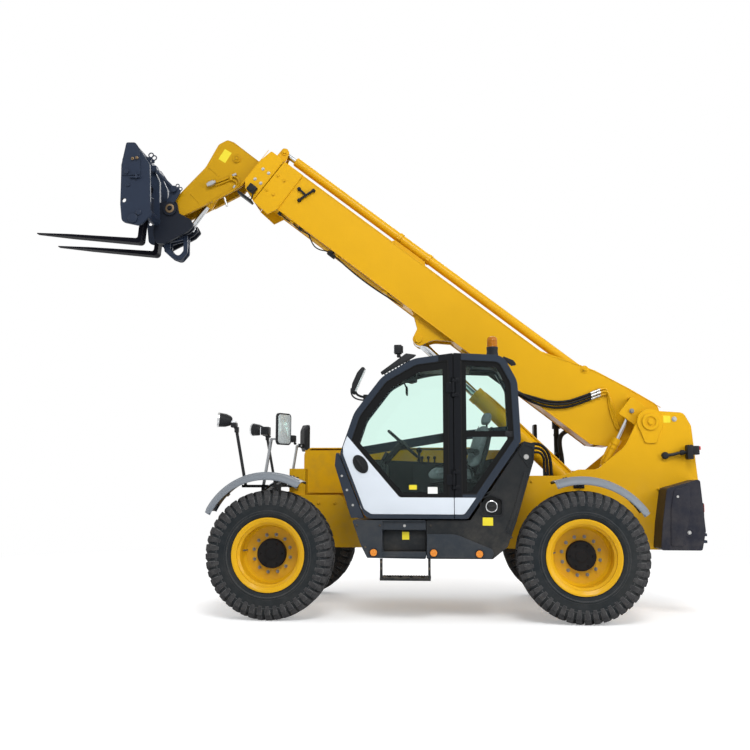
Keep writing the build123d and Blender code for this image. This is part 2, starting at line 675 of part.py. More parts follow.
def cab_step():
    """A tread plate between two hangers, each a flat bar bent under the plate."""
    middle = (STEP_X[0] + STEP_X[1]) / 2
    length = STEP_X[1] - STEP_X[0]
    tread = block(STEP_X, (STEP_BACK, CAB_OUTER_Y), (STEP_Z, STEP_Z + STEP_THICKNESS))
    hole = SlotOverall(150, 34, rotation=90)
    place = Plane(origin=(middle, (STEP_BACK + CAB_OUTER_Y) / 2, STEP_Z - 1))
    holes = [Pos(x, 0, 0) * hole for x in (-length / 3, -length / 9, length / 9, length / 3)]
    for cut in holes:
        tread -= extrude(place * cut, amount=STEP_THICKNESS + 2)
    for x in STEP_X:
        side = 1 if x == STEP_X[0] else -1
        x_range = sorted((x, x + side * STEP_THICKNESS))
        tread += block(x_range, (SKIRT_Y - 50, SKIRT_Y - 6), (STEP_Z, 590))
    return tread


def beacon():
    """A socket under a lamp with a rounded crown."""
    place = (-690, 900)
    lamp = z_rod(place, 46, 2655, 2770)
    lamp = fillet(lamp.edges().group_by(Axis.Z)[-1], 38)
    return z_rod(place, 55, 2558, 2660) + lamp


# ---------------------------------------------------------------- engine side
def engine_block():
    """An in-line diesel along the frame: crankcase on four feet, tapered sump, head and cover."""
    rear, front = ENGINE_X
    y = ENGINE_Y
    half = CRANKCASE_WIDTH / 2
    middle = (rear + front) / 2
    length = front - rear
    body = block(ENGINE_X, (y - half, y + half), (CRANK_Z - 60, CRANK_Z + 250))
    body = fillet(body.edges().filter_by(Axis.X), 30)
    sump_top = Plane(origin=(middle, y, CRANK_Z - 60)) * Rectangle(length, CRANKCASE_WIDTH - 30)
    sump_floor = Plane(origin=(middle - 60, y, ENGINE_FEET)) * Rectangle(length - 220, CRANKCASE_WIDTH - 150)
    body += loft([sump_floor, sump_top], ruled=True)
    head = block((rear + 20, front - 20), (y - 130, y + 130), (CRANK_Z + 240, CRANK_Z + 350))
    cover = block((rear + 40, front - 40), (y - 95, y + 95), (CRANK_Z + 345, ENGINE_TOP))
    body += head + fillet(cover.edges().filter_by(Axis.Z) + cover.faces().sort_by(Axis.Z)[-1].edges(), 30)
    # flywheel housing behind, fan hub and pulley in front
    housing = Plane(origin=(rear, y, CRANK_Z), z_dir=(-1, 0, 0))
    body += housing * Cone(175, 215, 60, align=(Align.CENTER, Align.CENTER, Align.MIN))
    body += x_rod((y, CRANK_Z), 110, front, front + 22) + x_rod((y, CRANK_Z), 90, front, front + 45)
    body += x_rod((y, CRANK_Z), 110, front + 43, front + 65)
    # inlet and exhaust runners, one pair to a cylinder, into a manifold on each side
    pitch = (length - 120) / CYLINDERS
    for number in range(CYLINDERS):
        x = rear + 60 + pitch * (number + 0.5)
        body += y_rod((x, CRANK_Z + 300), 26, y - MANIFOLD_Y, y + MANIFOLD_Y)
    for side in (-1, 1):
        pipe_y = y + side * MANIFOLD_Y
        body += x_rod((pipe_y, CRANK_Z + 300), 42, rear + 70, front - 70)
    # a foot under each corner
    for x in ENGINE_MOUNT_X:
        body += block((x + 12, x + 88), (y - 240, y + 240), (ENGINE_FEET, CRANK_Z - 100))
    return body


def engine_bay():
    tray = block((-750, 735), (-1140, -FRAME_OUTER_Y), (FRAME_BOTTOM, FRAME_BOTTOM + 12))
    tray += block((-840, 735), (-1140, -1128), (FRAME_BOTTOM, 985))
    for x in (-750, 723):
        tray += block((x, x + 12), (-1140, -FRAME_OUTER_Y), (FRAME_BOTTOM, 940))
    mounts = []
    for x in ENGINE_MOUNT_X:
        mounts.append(block((x, x + 100), (ENGINE_Y - 250, ENGINE_Y + 250), (FRAME_BOTTOM + 5, ENGINE_FEET)))
    wall = block((-840, 1390), (HOOD_INNER_Y - 12, HOOD_INNER_Y), (1200, HOOD_TOP - 30))
    wall += block((-840, 735), (HOOD_INNER_Y - 12, HOOD_INNER_Y), (955, 1200))
    wall += block((-820, 700), (-FRAME_OUTER_Y, HOOD_INNER_Y), (950, 965))
    for start in HOOD_HINGE_STARTS:
        end = start + HOOD_HINGE_LENGTH
        for low, high in ((start, start + HOOD_KNUCKLE), (end - HOOD_KNUCKLE, end)):
            strap = block((low, high), (HOOD_INNER_Y - 12, HOOD_INNER_Y), (HOOD_TOP - 31, HOOD_AXIS[1]))
            wall += x_rod(HOOD_AXIS, HOOD_BARREL, low, high) + strap
        wall += x_rod(HOOD_AXIS, HOOD_PIN, start, end)
    return Compound([tray + mounts, wall])


def hood_cover(points, radii, y_outer, inset):
    """A closed cover: its side outline, with the long outer edge rounded over."""
    y_inner = HOOD_INNER_Y - 18
    shape = prism(points, y_outer + inset, y_inner + (1 if inset else 0), radii)
    section = [(y_inner + 2, HOOD_TOP - inset), (y_outer + inset, HOOD_TOP - inset), (y_outer + inset, 900),
               (y_inner + 2, 900)]
    corner = HOOD_CORNER - inset
    plane = Plane(origin=(-1000, 0, 0), x_dir=(0, 1, 0), z_dir=(1, 0, 0))
    return shape & extrude(plane * outline(section, [0, corner, 0, 0]), amount=3000)


def hood_solid(inset):
    rear, step, front, top = HOOD_REAR + inset, HOOD_STEP - inset, HOOD_FRONT - inset, HOOD_TOP - inset
    base = 1000 - (1 if inset else 0)
    main = [(rear, base), (rear, top - 240), (rear + 150, top), (step, top), (step, base)]
    nose_base = 1390 - (1 if inset else 0)
    nose = [(step - 60, nose_base), (step - 60, top), (front - 60, top), (front, top - 70), (front, nose_base)]
    solid = hood_cover(main, [0, 120, 120, 0, 0], HOOD_OUTER_Y, inset)
    return solid + hood_cover(nose, [0, 0, 60, 40, 0], HOOD_NOSE_Y, inset)


def engine_hood():
    shell = hood_solid(0) - hood_solid(HOOD_SKIN)
    # air slots in the outer side, in two banks, and across the rear slope
    for bank in (-560, 60):
        for row in range(9):
            z = 1150 + row * 42
            shell -= block((bank, bank + 420), (HOOD_OUTER_Y - 1, HOOD_OUTER_Y + HOOD_SKIN + 1), (z, z + 20))
    for row in range(6):
        x = 300 + row * 48
        shell -= block((x, x + 22), (-920, -480), (HOOD_TOP - HOOD_SKIN - 1, HOOD_TOP + 1))
    for start in HOOD_HINGE_STARTS:
        end = start + HOOD_HINGE_LENGTH
        low, high = start + HOOD_KNUCKLE + GAP / 2, end - HOOD_KNUCKLE - GAP / 2
        shell -= x_rod(HOOD_AXIS, HOOD_BARREL + GAP, start - GAP, end + GAP)
        strap = block((low, high), (HOOD_AXIS[0] - 40, HOOD_AXIS[0] - 6), (HOOD_TOP - HOOD_SKIN, HOOD_TOP))
        shell += x_rod(HOOD_AXIS, HOOD_BARREL, low, high) + strap
        shell -= x_rod(HOOD_AXIS, HOOD_PIN + RUNNING, low - 1, high + 1)
    return shell


def exhaust():
    """A bracket on the frame that carries the air intake's pole and the bent tail pipe."""
    stack = z_rod((-1504, -650), 30, 1400, 1960) + z_rod((-1504, -650), 46, 1940, 2030)
    route = FilletPolyline((-1560, -650, 1395), (-1560, -650, 1600), (-1515, -650, 1720), (-1560, -650, 1860),
                           (-1630, -650, 1925), radius=[70, 70, 60])
    tail = sweep(Plane(origin=route @ 0, z_dir=route % 0) * Circle(26), path=route)
    stack += tail + block((-1600, -1460), (-710, -FRAME_OUTER_Y), (1385, 1405))
    return stack


# ---------------------------------------------------------------- boom
# outline of the outer boom's side: along, above, corner radius
BOOM_SIDE = [
    (-130, -60, 60), (-40, 250, 120), (340, 208, 100), (745, 145, 200), (1000, 70, 200), (1330, BOOM_TOP, 150),
    (BOOM_LENGTH, BOOM_TOP, 0), (BOOM_LENGTH, BOOM_BOTTOM, 0), (300, BOOM_BOTTOM, 60), (150, -420, 80), (-20, -150, 60),
]


def outer_boom():
    half = BOOM_WIDTH / 2
    points = [(u, w) for u, w, _ in BOOM_SIDE]
    radii = [radius for _, _, radius in BOOM_SIDE]
    body = boom_prism(points, -half, half, radii)
    cavity = [(230, MIDDLE_BOTTOM - 6), (BOOM_LENGTH + 1, MIDDLE_BOTTOM - 6), (BOOM_LENGTH + 1, BOOM_TOP - BOOM_WALL),
              (230, BOOM_TOP - BOOM_WALL)]
    body -= boom_prism(cavity, -half + BOOM_WALL, half - BOOM_WALL)
    # the extension cylinder lies in a slot between the raised cheeks
    slot = [(560, 0), (1500, 0), (1500, 400), (560, 400)]
    body -= boom_prism(slot, -70, 70)
    bore = y_rod(BOOM_PIVOT, PIVOT_PIN_RADIUS + RUNNING, -half - 1, half + 1)
    body -= bore
    collar = [(4655, BOOM_TOP), (BOOM_LENGTH, BOOM_TOP), (BOOM_LENGTH, BOOM_BOTTOM - 100), (4700, BOOM_BOTTOM - 120),
              (4640, BOOM_BOTTOM)]
    for side in (-1, 1):
        body += boom_prism(collar, *sorted((side * half, side * (half + 14))))
    lug = [(2140, BOOM_BOTTOM + 5), (2340, -640), (LIFT_LUG[0] - 55, LIFT_LUG[1] - 55), (LIFT_LUG[0] + 55, LIFT_LUG[1] - 55),
           (LIFT_LUG[0] + 85, -640), (2720, BOOM_BOTTOM + 5)]
    for side in (-1, 1):
        ear = boom_prism(lug, *sorted((side * 100, side * 128)), [0, 200, 50, 50, 60, 0])
        head = y_rod(boom_point(*LIFT_LUG), 38, *sorted((side * 100, side * 146)))
        body += ear + head
    # the compensation cylinder's bracket: an outer plate carried by a top and a back web
    body += boom_prism([(55, -106), (75, -106), (75, 100), (295, 100), (295, 120), (55, 120)], half - 1, TRIM_Y + 52)
    body += boom_prism([(55, -106), (295, -106), (295, 120), (55, 120)], TRIM_Y + 40, TRIM_Y + 52)
    body += y_rod(TRIM_LUG, 26, TRIM_Y + 40, TRIM_Y + 64)
    saddle = [(2900, BOOM_TOP), (3420, BOOM_TOP), (3380, EXTEND_W - EXTEND_RADIUS - 4), (2960, EXTEND_W - EXTEND_RADIUS - 4)]
    body += boom_prism(saddle, -60, 60)
    return body


def middle_boom():
    half = MIDDLE_WIDTH / 2
    points = [(300, MIDDLE_BOTTOM), (COLLAR_BACK, MIDDLE_BOTTOM), (COLLAR_BACK, MIDDLE_TOP), (300, MIDDLE_TOP)]
    body = boom_prism(points, -half, half)
    collar = [(COLLAR_BACK, -30), (5126, -30), (COLLAR_FRONT, -205), (COLLAR_FRONT, -470), (5090, -555),
              (COLLAR_BACK, -610)]
    body += boom_prism(collar, -205, 205, [0, 20, 60, 60, 60, 0])
    cavity = [(280, INNER_BOTTOM - 6), (COLLAR_FRONT + 1, INNER_BOTTOM - 6), (COLLAR_FRONT + 1, INNER_TOP + 6),
              (280, INNER_TOP + 6)]
    body -= boom_prism(cavity, -INNER_WIDTH / 2 - 6, INNER_WIDTH / 2 + 6)
    ear = [(4960, -40), (5100, -40), (EXTEND_FRONT + 45, EXTEND_W + 30), (EXTEND_FRONT, EXTEND_W + 48),
           (EXTEND_FRONT - 45, EXTEND_W + 30)]
    for side in (-1, 1):
        body += boom_prism(ear, *sorted((side * 44, side * 64)), [0, 0, 30, 30, 30])
    return body - y_rod(boom_point(EXTEND_FRONT, EXTEND_W), 22, -70, 70)


GOOSENECK = [
    (5180, INNER_TOP, 0), (5583, -191, 60), (5665, -215, 50), (5713, -318, 60), (5662, -622, 200), (5715, -1152, 100),
    (5765, -1262, 90), (5650, -1372, 90), (5540, -1290, 90), (5462, -1139, 60), (5182, -560, 20),
]


def inner_boom():
    half = INNER_WIDTH / 2
    box = [(500, INNER_BOTTOM), (5200, INNER_BOTTOM), (5200, INNER_TOP), (500, INNER_TOP)]
    body = boom_prism(box, -half, half)
    body -= boom_prism([(510, INNER_BOTTOM + 10), (5190, INNER_BOTTOM + 10), (5190, INNER_TOP - 10), (510, INNER_TOP - 10)],
                       -half + 10, half - 10)
    points = [(u, w) for u, w, _ in GOOSENECK]
    radii = [radius for _, _, radius in GOOSENECK]
    neck = boom_prism(points, -half, half, radii)
    hollow = [(5230, -225), (5560, -225), (5650, -330), (5600, -622), (5610, -1090), (5500, -1500), (5300, -1500),
              (5100, -560), (5230, -500)]
    neck -= boom_prism(hollow, -84, 84)
    neck -= y_rod(CARRIAGE_PIVOT, 42 + RUNNING, -half - 1, half + 1)
    tilt_pin = y_rod(TILT_BASE, TILT["pin"], -half - 14, half + 14)
    for side in (-1, 1):
        tilt_pin += y_rod(TILT_BASE, 48, *sorted((side * half, side * (half + 14))))
    return body + neck + tilt_pin


def extension_barrel():
    start = boom_point(EXTEND_BACK, EXTEND_W)
    end = boom_point(EXTEND_FRONT, EXTEND_W)
    tube = along(start, end, EXTEND_RADIUS, 0, 4190)
    tube -= along(start, end, EXTEND_ROD_RADIUS + RUNNING, 100, 4200)
    return tube


def extension_rod():
    start = boom_point(EXTEND_BACK, EXTEND_W)
    end = boom_point(EXTEND_FRONT, EXTEND_W)
    reach = EXTEND_FRONT - EXTEND_BACK
    rod = along(start, end, EXTEND_ROD_RADIUS, 130, reach)
    rod += y_rod(end, 42, -38, 38)
    rod += y_rod(end, 22, -80, 80)
    return rod


# ---------------------------------------------------------------- fork carriage
def coupler_outline():
    return around(CARRIAGE_PIVOT, [
        (-70, 90), (85, 95), (160, 60), (190, -100), (190, -313), (154, -400), (60, -410), (-215, -270), (-280, -200),
        (-240, -130), (-100, -50),
    ])


def coupler():
    plate = coupler_outline()
    tilt_ear = around(CARRIAGE_PIVOT, [
        (-268, -205), (-240, -135), (-150, -135), (-60, -160), (110, -140), (182, -170), (182, -330), (60, -385),
        (-215, -262),
    ])
    parts = []
    for side in (-1, 1):
        wall = prism(plate, *sorted((side * 135, side * 165)), 30)
        wall += y_rod(CARRIAGE_PIVOT, 80, *sorted((side * 135, side * 190)))
        parts.append(wall)
        parts.append(prism(tilt_ear, *sorted((side * 50, side * 74)), 15))
    body = parts[0] + parts[1] + parts[2] + parts[3]
    body += y_rod(CARRIAGE_PIVOT, 42, -150, 150)
    body += prism(around(CARRIAGE_PIVOT, [(125, -345), (180, -325), (180, -60), (150, -60)]), -140, 140)
    return body


FRAME_SIDE = [
    (3350, 5125, 20), (3246, 5122, 40), (3070, 4860, 40), (3040, 4270, 60), (3156, 4150, 80), (3367, 4200, 60),
    (3392, 4400, 40), (3398, 4862, 20),
]


FORK_HEEL = (3180, 3985)
FORK_SHANK = 705
FORK_SHAFT_RADIUS = 24


def fork_shaft_place():
    lean = math.radians(FORK_RISE)
    up = FORK_SHANK - 40
    across = FORK_THICKNESS / 2
    x = FORK_HEEL[0] + across * math.cos(lean) - up * math.sin(lean)
    z = FORK_HEEL[1] + across * math.sin(lean) + up * math.cos(lean)
    return (x, z)


def fork_frame():
    points = [(x, z) for x, z, _ in FRAME_SIDE]
    radii = [radius for _, _, radius in FRAME_SIDE]
    body = y_rod((3080, 4290), 55, -450, 450)
    body += block((3200, 3280), (-450, 450), (4960, 5060))
    body += y_rod(fork_shaft_place(), FORK_SHAFT_RADIUS, -450, 450)
    rib = [(3030, 4250), (3100, 4250), (3112, 4560), (3185, 4600), (3200, 4740), (3290, 4960), (3290, 5060),
           (3190, 5060), (3050, 4760)]
    for side in (-1, 1):
        body += prism(points, *sorted((side * 425, side * 455)), radii)
        body += prism(rib, *sorted((side * 120, side * 170)))
    hole = y_rod((3352, 4450), 25, -460, 460)
    body -= hole
    body -= prism(coupler_outline(), -166, 166, 30)
    return body


def forks():
    pair = []
    lean = math.radians(FORK_RISE)
    for side in (-1, 1):
        y = side * FORK_Y
        shape = [(0, 0), (FORK_LENGTH, 38), (FORK_LENGTH, FORK_THICKNESS), (FORK_THICKNESS, FORK_THICKNESS + 6),
                 (FORK_THICKNESS, FORK_SHANK), (0, FORK_SHANK)]
        origin = (FORK_HEEL[0], y + FORK_WIDTH / 2, FORK_HEEL[1])
        plane = Plane(origin=origin, x_dir=(math.cos(lean), 0, math.sin(lean)), z_dir=(0, -1, 0))
        fork = extrude(plane * outline(shape, [45, 4, 4, 25, 12, 12]), amount=FORK_WIDTH)
        # the blade narrows to a blunt tip
        tip = FORK_LENGTH + FORK_HEEL[0]
        half = FORK_WIDTH / 2
        taper = [(tip - 420, half + 1), (tip + 40, half + 1), (tip + 40, half * 0.35)]
        for edge in (-1, 1):
            corner = make_face(Polyline(*[(x, y + edge * across) for x, across in taper], close=True))
            fork -= extrude(Plane(origin=(0, 0, FORK_HEEL[1] - 50)) * corner, amount=400)
        fork += y_rod(fork_shaft_place(), 42, y - FORK_WIDTH / 2, y + FORK_WIDTH / 2)
        fork -= y_rod(fork_shaft_place(), FORK_SHAFT_RADIUS, y - FORK_WIDTH, y + FORK_WIDTH)
        pair.append(fork)
    return Compound(pair)


# ---------------------------------------------------------------- build and write
def build_all():
    pieces["frame_side_plates"] = frame_side_plates()
    pieces["frame_cross_members"] = frame_cross_members()
    pieces["boom_pivot_pin"] = boom_pivot_pin()
    pieces["rear_counterweight"] = rear_counterweight()
    pieces["tow_hitch"] = tow_hitch()
    pieces["rear_bumpers"] = rear_bumpers()
    pieces["front_axle"] = axle(FRONT)
    pieces["rear_axle"] = axle(REAR)
    for name, x, side in CORNERS:
        pieces["knuckle_" + name] = knuckle(x, side)
        pieces["rim_" + name] = rim(x, side)
        pieces["tyre_" + name] = tyre(x, side)
    pieces["front_fenders"] = front_fenders()
    pieces["rear_fenders"] = rear_fenders()
    pieces["lamp_posts"] = lamp_posts()
    pieces["front_lamps"] = front_lamps()
    pieces["mirrors"] = mirrors()
    pieces["cab_frame"] = cab_frame()
    pieces["cab_floor"] = cab_floor()
    pieces["cab_windows"] = cab_windows()
    pieces["cab_door"] = cab_door()
    pieces["door_glass"] = door_glass()
    pieces["operator_seat"] = operator_seat()
    pieces["cab_controls"] = cab_controls()
    pieces["side_skirts"] = side_skirts()
    pieces["fuel_tank"] = fuel_tank()
    pieces["cab_step"] = cab_step()
    pieces["beacon"] = beacon()
    pieces["engine_block"] = engine_block()
    pieces["engine_bay"] = engine_bay()
    pieces["engine_hood"] = engine_hood()
    pieces["exhaust"] = exhaust()
    pieces["outer_boom"] = outer_boom()
    pieces["middle_boom"] = middle_boom()
    pieces["inner_boom"] = inner_boom()
    pieces["extension_barrel"] = extension_barrel()
    pieces["extension_rod"] = extension_rod()
    lift_top = boom_point(*LIFT_LUG)
    pieces["lift_barrel"] = eye_cylinder_barrel(LIFT_BASE, lift_top, 0, LIFT)
    pieces["lift_rod"] = eye_cylinder_rod(LIFT_BASE, lift_top, 0, LIFT)
    pieces["compensation_barrel"] = eye_cylinder_barrel(TRIM_BASE, TRIM_LUG, TRIM_Y, TRIM)
    pieces["compensation_rod"] = eye_cylinder_rod(TRIM_BASE, TRIM_LUG, TRIM_Y, TRIM)
    pieces["tilt_barrel"] = eye_cylinder_barrel(TILT_BASE, TILT_LUG, 0, TILT)
    pieces["tilt_rod"] = eye_cylinder_rod(TILT_BASE, TILT_LUG, 0, TILT)
    pieces["coupler"] = coupler()
    pieces["fork_frame"] = fork_frame()
    pieces["forks"] = forks()


build_all()
os.makedirs("parts", exist_ok=True)
for name, shape in pieces.items():
    export_step(Pos(-MACHINE_MIDDLE, 0, 0) * shape, "parts/" + name + ".step")
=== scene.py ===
import math

import bmesh
import bpy
from mathutils import Matrix, Vector


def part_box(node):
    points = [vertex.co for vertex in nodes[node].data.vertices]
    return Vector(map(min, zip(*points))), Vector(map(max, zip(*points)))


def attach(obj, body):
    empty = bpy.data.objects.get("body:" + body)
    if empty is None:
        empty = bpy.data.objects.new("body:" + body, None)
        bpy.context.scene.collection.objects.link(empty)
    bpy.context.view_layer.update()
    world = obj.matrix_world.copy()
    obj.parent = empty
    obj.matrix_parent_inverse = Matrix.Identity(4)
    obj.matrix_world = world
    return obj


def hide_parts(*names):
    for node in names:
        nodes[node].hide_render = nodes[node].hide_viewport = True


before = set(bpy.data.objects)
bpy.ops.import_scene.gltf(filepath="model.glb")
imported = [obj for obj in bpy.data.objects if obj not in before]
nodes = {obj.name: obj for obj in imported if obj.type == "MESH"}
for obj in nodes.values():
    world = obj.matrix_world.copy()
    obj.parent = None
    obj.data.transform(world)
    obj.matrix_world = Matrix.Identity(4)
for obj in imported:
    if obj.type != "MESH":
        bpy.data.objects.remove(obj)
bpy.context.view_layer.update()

# ---------------------------------------------------------------- studio
# A pale floor that fades into white, with one large soft key light over the machine's
# left shoulder, fills from the front, the rear and the far side, and an even sky. The
# camera stands off the left side at waist height. Places are metres from midway between
# the axles, and MIDDLE is where that point lies in the machine's own frame.
front_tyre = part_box("tyre_front_left")
rear_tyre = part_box("tyre_rear_left")
MIDDLE = sum(corner[0] for corner in (*front_tyre, *rear_tyre)) / 4
AXLES = Matrix.Translation((MIDDLE, 0, 0))
WHITE = (1.0, 1.0, 1.0, 1.0)


def in_scene(name, data):
    """Puts a new object that holds this data in the scene."""
    made = bpy.data.objects.new(name, data)
    bpy.context.scene.collection.objects.link(made)
    return made


def plug(tree, value, slot):
    """Sets a node's input to a plain value, or links a number or a socket to it."""
    if isinstance(value, Number):
        value = value.socket
    if isinstance(value, bpy.types.NodeSocket):
        tree.links.new(value, slot)
    else:
        slot.default_value = value


def add_node(tree, kind, settings=None, values=(), **inputs):
    """Adds a node. Values fill its inputs in order, and the named inputs follow."""
    made = tree.nodes.new(kind)
    for key, value in (settings or {}).items():
        setattr(made, key, value)
    for slot, value in zip(made.inputs, values):
        plug(tree, value, slot)
    for key, value in inputs.items():
        plug(tree, value, made.inputs[key.replace("_", " ")])
    return made


def arithmetic(operation, swapped=False):
    """The method that adds one kind of Math node."""
    def method(self, other):
        return self.maths(operation, *((other, self) if swapped else (self, other)))
    return method


class Number:
    """A number that varies over a surface. Arithmetic on it adds Math nodes."""

    __add__, __radd__ = arithmetic("ADD"), arithmetic("ADD", True)
    __sub__, __rsub__ = arithmetic("SUBTRACT"), arithmetic("SUBTRACT", True)
    __mul__, __rmul__ = arithmetic("MULTIPLY"), arithmetic("MULTIPLY", True)
    __pow__ = arithmetic("POWER")

    def __init__(self, tree, socket):
        self.tree = tree
        self.socket = socket

    def maths(self, operation, *values):
        made = add_node(self.tree, "ShaderNodeMath", {"operation": operation}, values)
        return Number(self.tree, made.outputs[0])

    def above(self, low, high):
        """0 below low, 1 above high, and a straight rise between."""
        made = add_node(self.tree, "ShaderNodeMapRange", From_Min=low, From_Max=high, Value=self)
        return Number(self.tree, made.outputs["Result"])


class Finish:
    """One material: its surface shader, and one way to add any other node to it."""

    def __init__(self, name, colour, roughness, **settings):
        self.material = bpy.data.materials.new(name)
        self.material.use_nodes = True
        self.material.diffuse_color = (*colour, 1.0)
        self.tree = self.material.node_tree
        self.surface = self.tree.nodes["Principled BSDF"]
        self.set("Base Color", (*colour, 1.0))
        self.set("Roughness", roughness)
        self.set("Specular IOR Level", 0.11)
        for socket, value in settings.items():
            self.set(socket.replace("_", " "), value)

    def plug(self, value, slot):
        plug(self.tree, value, slot)

    def set(self, socket, value):
        self.plug(value, self.surface.inputs[socket])

    def node(self, kind, settings=None, *values, **inputs):
        return add_node(self.tree, "ShaderNode" + kind, settings, values, **inputs)

    def place(self):
        return self.node("TexCoord").outputs["Object"]

    def along(self, axis):
        parts = self.node("SeparateXYZ", Vector=self.place())
        return Number(self.tree, parts.outputs["XYZ".index(axis)])

    def noise(self, scale, detail=4.0, roughness=0.55, stretch=(1, 1, 1)):
        spot = self.place()
        if stretch != (1, 1, 1):
            spot = self.node("Mapping", Vector=spot, Scale=stretch).outputs[0]
        made = self.node("TexNoise", Vector=spot, Scale=scale, Detail=detail, Roughness=roughness)
        return Number(self.tree, made.outputs["Fac"])

    def blend(self, mask, colour_a, colour_b):
        mix = self.node("Mix", {"data_type": "RGBA"})
        self.plug(mask, mix.inputs[0])
        for slot, colour in ((mix.inputs[6], colour_a), (mix.inputs[7], colour_b)):
            self.plug((*colour, 1.0) if isinstance(colour, tuple) else colour, slot)
        return mix.outputs[2]

    def bump(self, height, strength, distance, normal=None):
        made = self.node("Bump", Height=height, Strength=strength, Distance=distance)
        if normal is not None:
            self.plug(normal, made.inputs["Normal"])
        self.set("Normal", made.outputs[0])
        return made.outputs[0]


def shade(colour, factor):
    return tuple(min(1.0, part * factor) for part in colour)


def seen_directly(tree):
    """1 for rays that show the surroundings as they are: straight, mirrored or through glass."""
    ray = tree.nodes.new("ShaderNodeLightPath").outputs
    straight, mirrored, through = [
        Number(tree, ray[f"Is {kind} Ray"])
        for kind in ("Camera", "Glossy", "Transmission")
    ]
    return (straight + mirrored + through).above(0, 1)


def mixed(tree, share, shader_a, shader_b):
    """Shader a where the share is 0 and shader b where it is 1."""
    return add_node(tree, "ShaderNodeMixShader", None, (share, shader_a, shader_b)).outputs[0]


FLOOR_GLOW = 0.3
FLOOR_HALF = 40
FADE_START, FADE_END = 4.5, 9.0
floor_finish = Finish("studio floor", (0.86, 0.86, 0.86), 0.9, Specular_IOR_Level=0.1)
tree = floor_finish.tree
plain_floor = floor_finish.surface.outputs[0]
white = floor_finish.node("Emission", Color=WHITE, Strength=1.0).outputs[0]
faint = floor_finish.node("Emission", Color=WHITE, Strength=FLOOR_GLOW).outputs[0]
lit = floor_finish.node("AddShader", None, plain_floor, faint).outputs[0]
from_x, from_y = floor_finish.along("X"), floor_finish.along("Y")
far = ((from_x * from_x + from_y * from_y) ** 0.5).above(FADE_START, FADE_END)
chosen = mixed(tree, seen_directly(tree), plain_floor, mixed(tree, far, lit, white))
plug(tree, chosen, tree.nodes["Material Output"].inputs["Surface"])
floor_mesh = bpy.data.meshes.new("studio floor")
floor_corners = [(x * FLOOR_HALF, y * FLOOR_HALF, 0) for x, y in ((-1, -1), (1, -1), (1, 1), (-1, 1))]
floor_mesh.from_pydata(floor_corners, [], [(0, 1, 2, 3)])
floor_mesh.materials.append(floor_finish.material)
in_scene("studio_floor", floor_mesh)

sky = bpy.data.worlds.new("studio sky")
sky.use_nodes = True
bpy.context.scene.world = sky
tree = sky.node_tree
soft = tree.nodes["Background"]
soft.inputs["Color"].default_value = (0.95, 0.97, 1.0, 1.0)
soft.inputs["Strength"].default_value = 0.5
bright = add_node(tree, "ShaderNodeBackground", Color=WHITE, Strength=1.0)
chosen = mixed(tree, seen_directly(tree), soft.outputs[0], bright.outputs[0])
plug(tree, chosen, tree.nodes["World Output"].inputs["Surface"])

# name, place, size in metres, power in watts
LAMPS = [
    ("key_light", (-1.5, 11.5, 12.0), 6.0, 1220),
    ("front_light", (10.0, 2.0, 5.0), 6.0, 200),
    ("rear_light", (-8.5, 6.0, 5.0), 6.0, 400),
    ("far_light", (0.5, -9.0, 8.0), 7.0, 420),
]
LIT_SPOT = Vector((0, 0, 1.6))
for name, place, size, power in LAMPS:
    lamp = bpy.data.lights.new(name, "AREA")
    lamp.shape = "DISK"
    lamp.size = size
    lamp.energy = power
    stand = in_scene(name, lamp)
    stand.location = AXLES @ Vector(place)
    stand.rotation_euler = (LIT_SPOT - Vector(place)).to_track_quat("-Z", "Y").to_euler()

CAMERA_PLACE = (-0.203, 9.411, 1.297)
YAW, PITCH, ROLL = [math.radians(degrees) for degrees in (4.65, 7.31, 0.11)]
lens = bpy.data.cameras.new("camera")
lens.lens = 40.88
lens.sensor_width = 36
camera = in_scene("camera", lens)
camera.location = AXLES @ Vector(CAMERA_PLACE)
sight = Vector((math.sin(YAW) * math.cos(PITCH), -math.cos(YAW) * math.cos(PITCH), math.sin(PITCH)))
turn = sight.to_track_quat("-Z", "Y").to_matrix() @ Matrix.Rotation(ROLL, 3, "Z")
camera.rotation_euler = turn.to_euler()
bpy.context.scene.camera = camera
bpy.context.scene.view_settings.view_transform = "Standard"

# ---------------------------------------------------------------- main frame
# Two cut side plates joined by cross members, welded, shot-blasted and sprayed with a
# thick golden-yellow coat. Edges carry a painted highlight a shade lighter, and road dust lies low down.


def edge_glow(finish, radius):
    """How close a point is to an edge, from the bend of its rounded normal."""
    rounded_normal = finish.node("Bevel", {"samples": 4}, Radius=radius).outputs[0]
    flat_normal = finish.node("NewGeometry").outputs["Normal"]
    product = finish.node("VectorMath", {"operation": "DOT_PRODUCT"}, rounded_normal, flat_normal)
    closeness = Number(finish.tree, product.outputs["Value"])
    return 1 - closeness, rounded_normal


def sprayed(name, colour, roughness=0.36, dust=0.0, coat=0.07):
    """Sprayed steel: faint orange peel, uneven gloss, a painted highlight along the edges, and low dust."""
    finish = Finish(name, colour, roughness, Coat_Weight=coat, Coat_Roughness=0.18)
    edge, soft_normal = edge_glow(finish, 0.007)
    cloud = finish.noise(1.7, 3.0).above(0.3, 0.7)
    tone = finish.blend(cloud * 0.55, shade(colour, 0.94), shade(colour, 1.05))
    # painted highlight: edges are lightened a shade where they would catch the light
    tone = finish.blend((edge * 3).above(0.1, 0.9) * 0.35, tone, shade(colour, 1.35))
    if dust:
        low = 1 - finish.along("Z").above(0.15, 1.5)
        speck = finish.noise(9.0, 6.0, 0.7).above(0.35, 0.75)
        tone = finish.blend(low * speck * dust, tone, (0.3, 0.24, 0.17))
    finish.set("Base Color", tone)
    finish.set("Roughness", roughness + finish.noise(5.0, 5.0) * 0.12 - 0.06)
    finish.bump(finish.noise(420.0, 2.0), 0.05, 0.0015, soft_normal)
    return finish.material


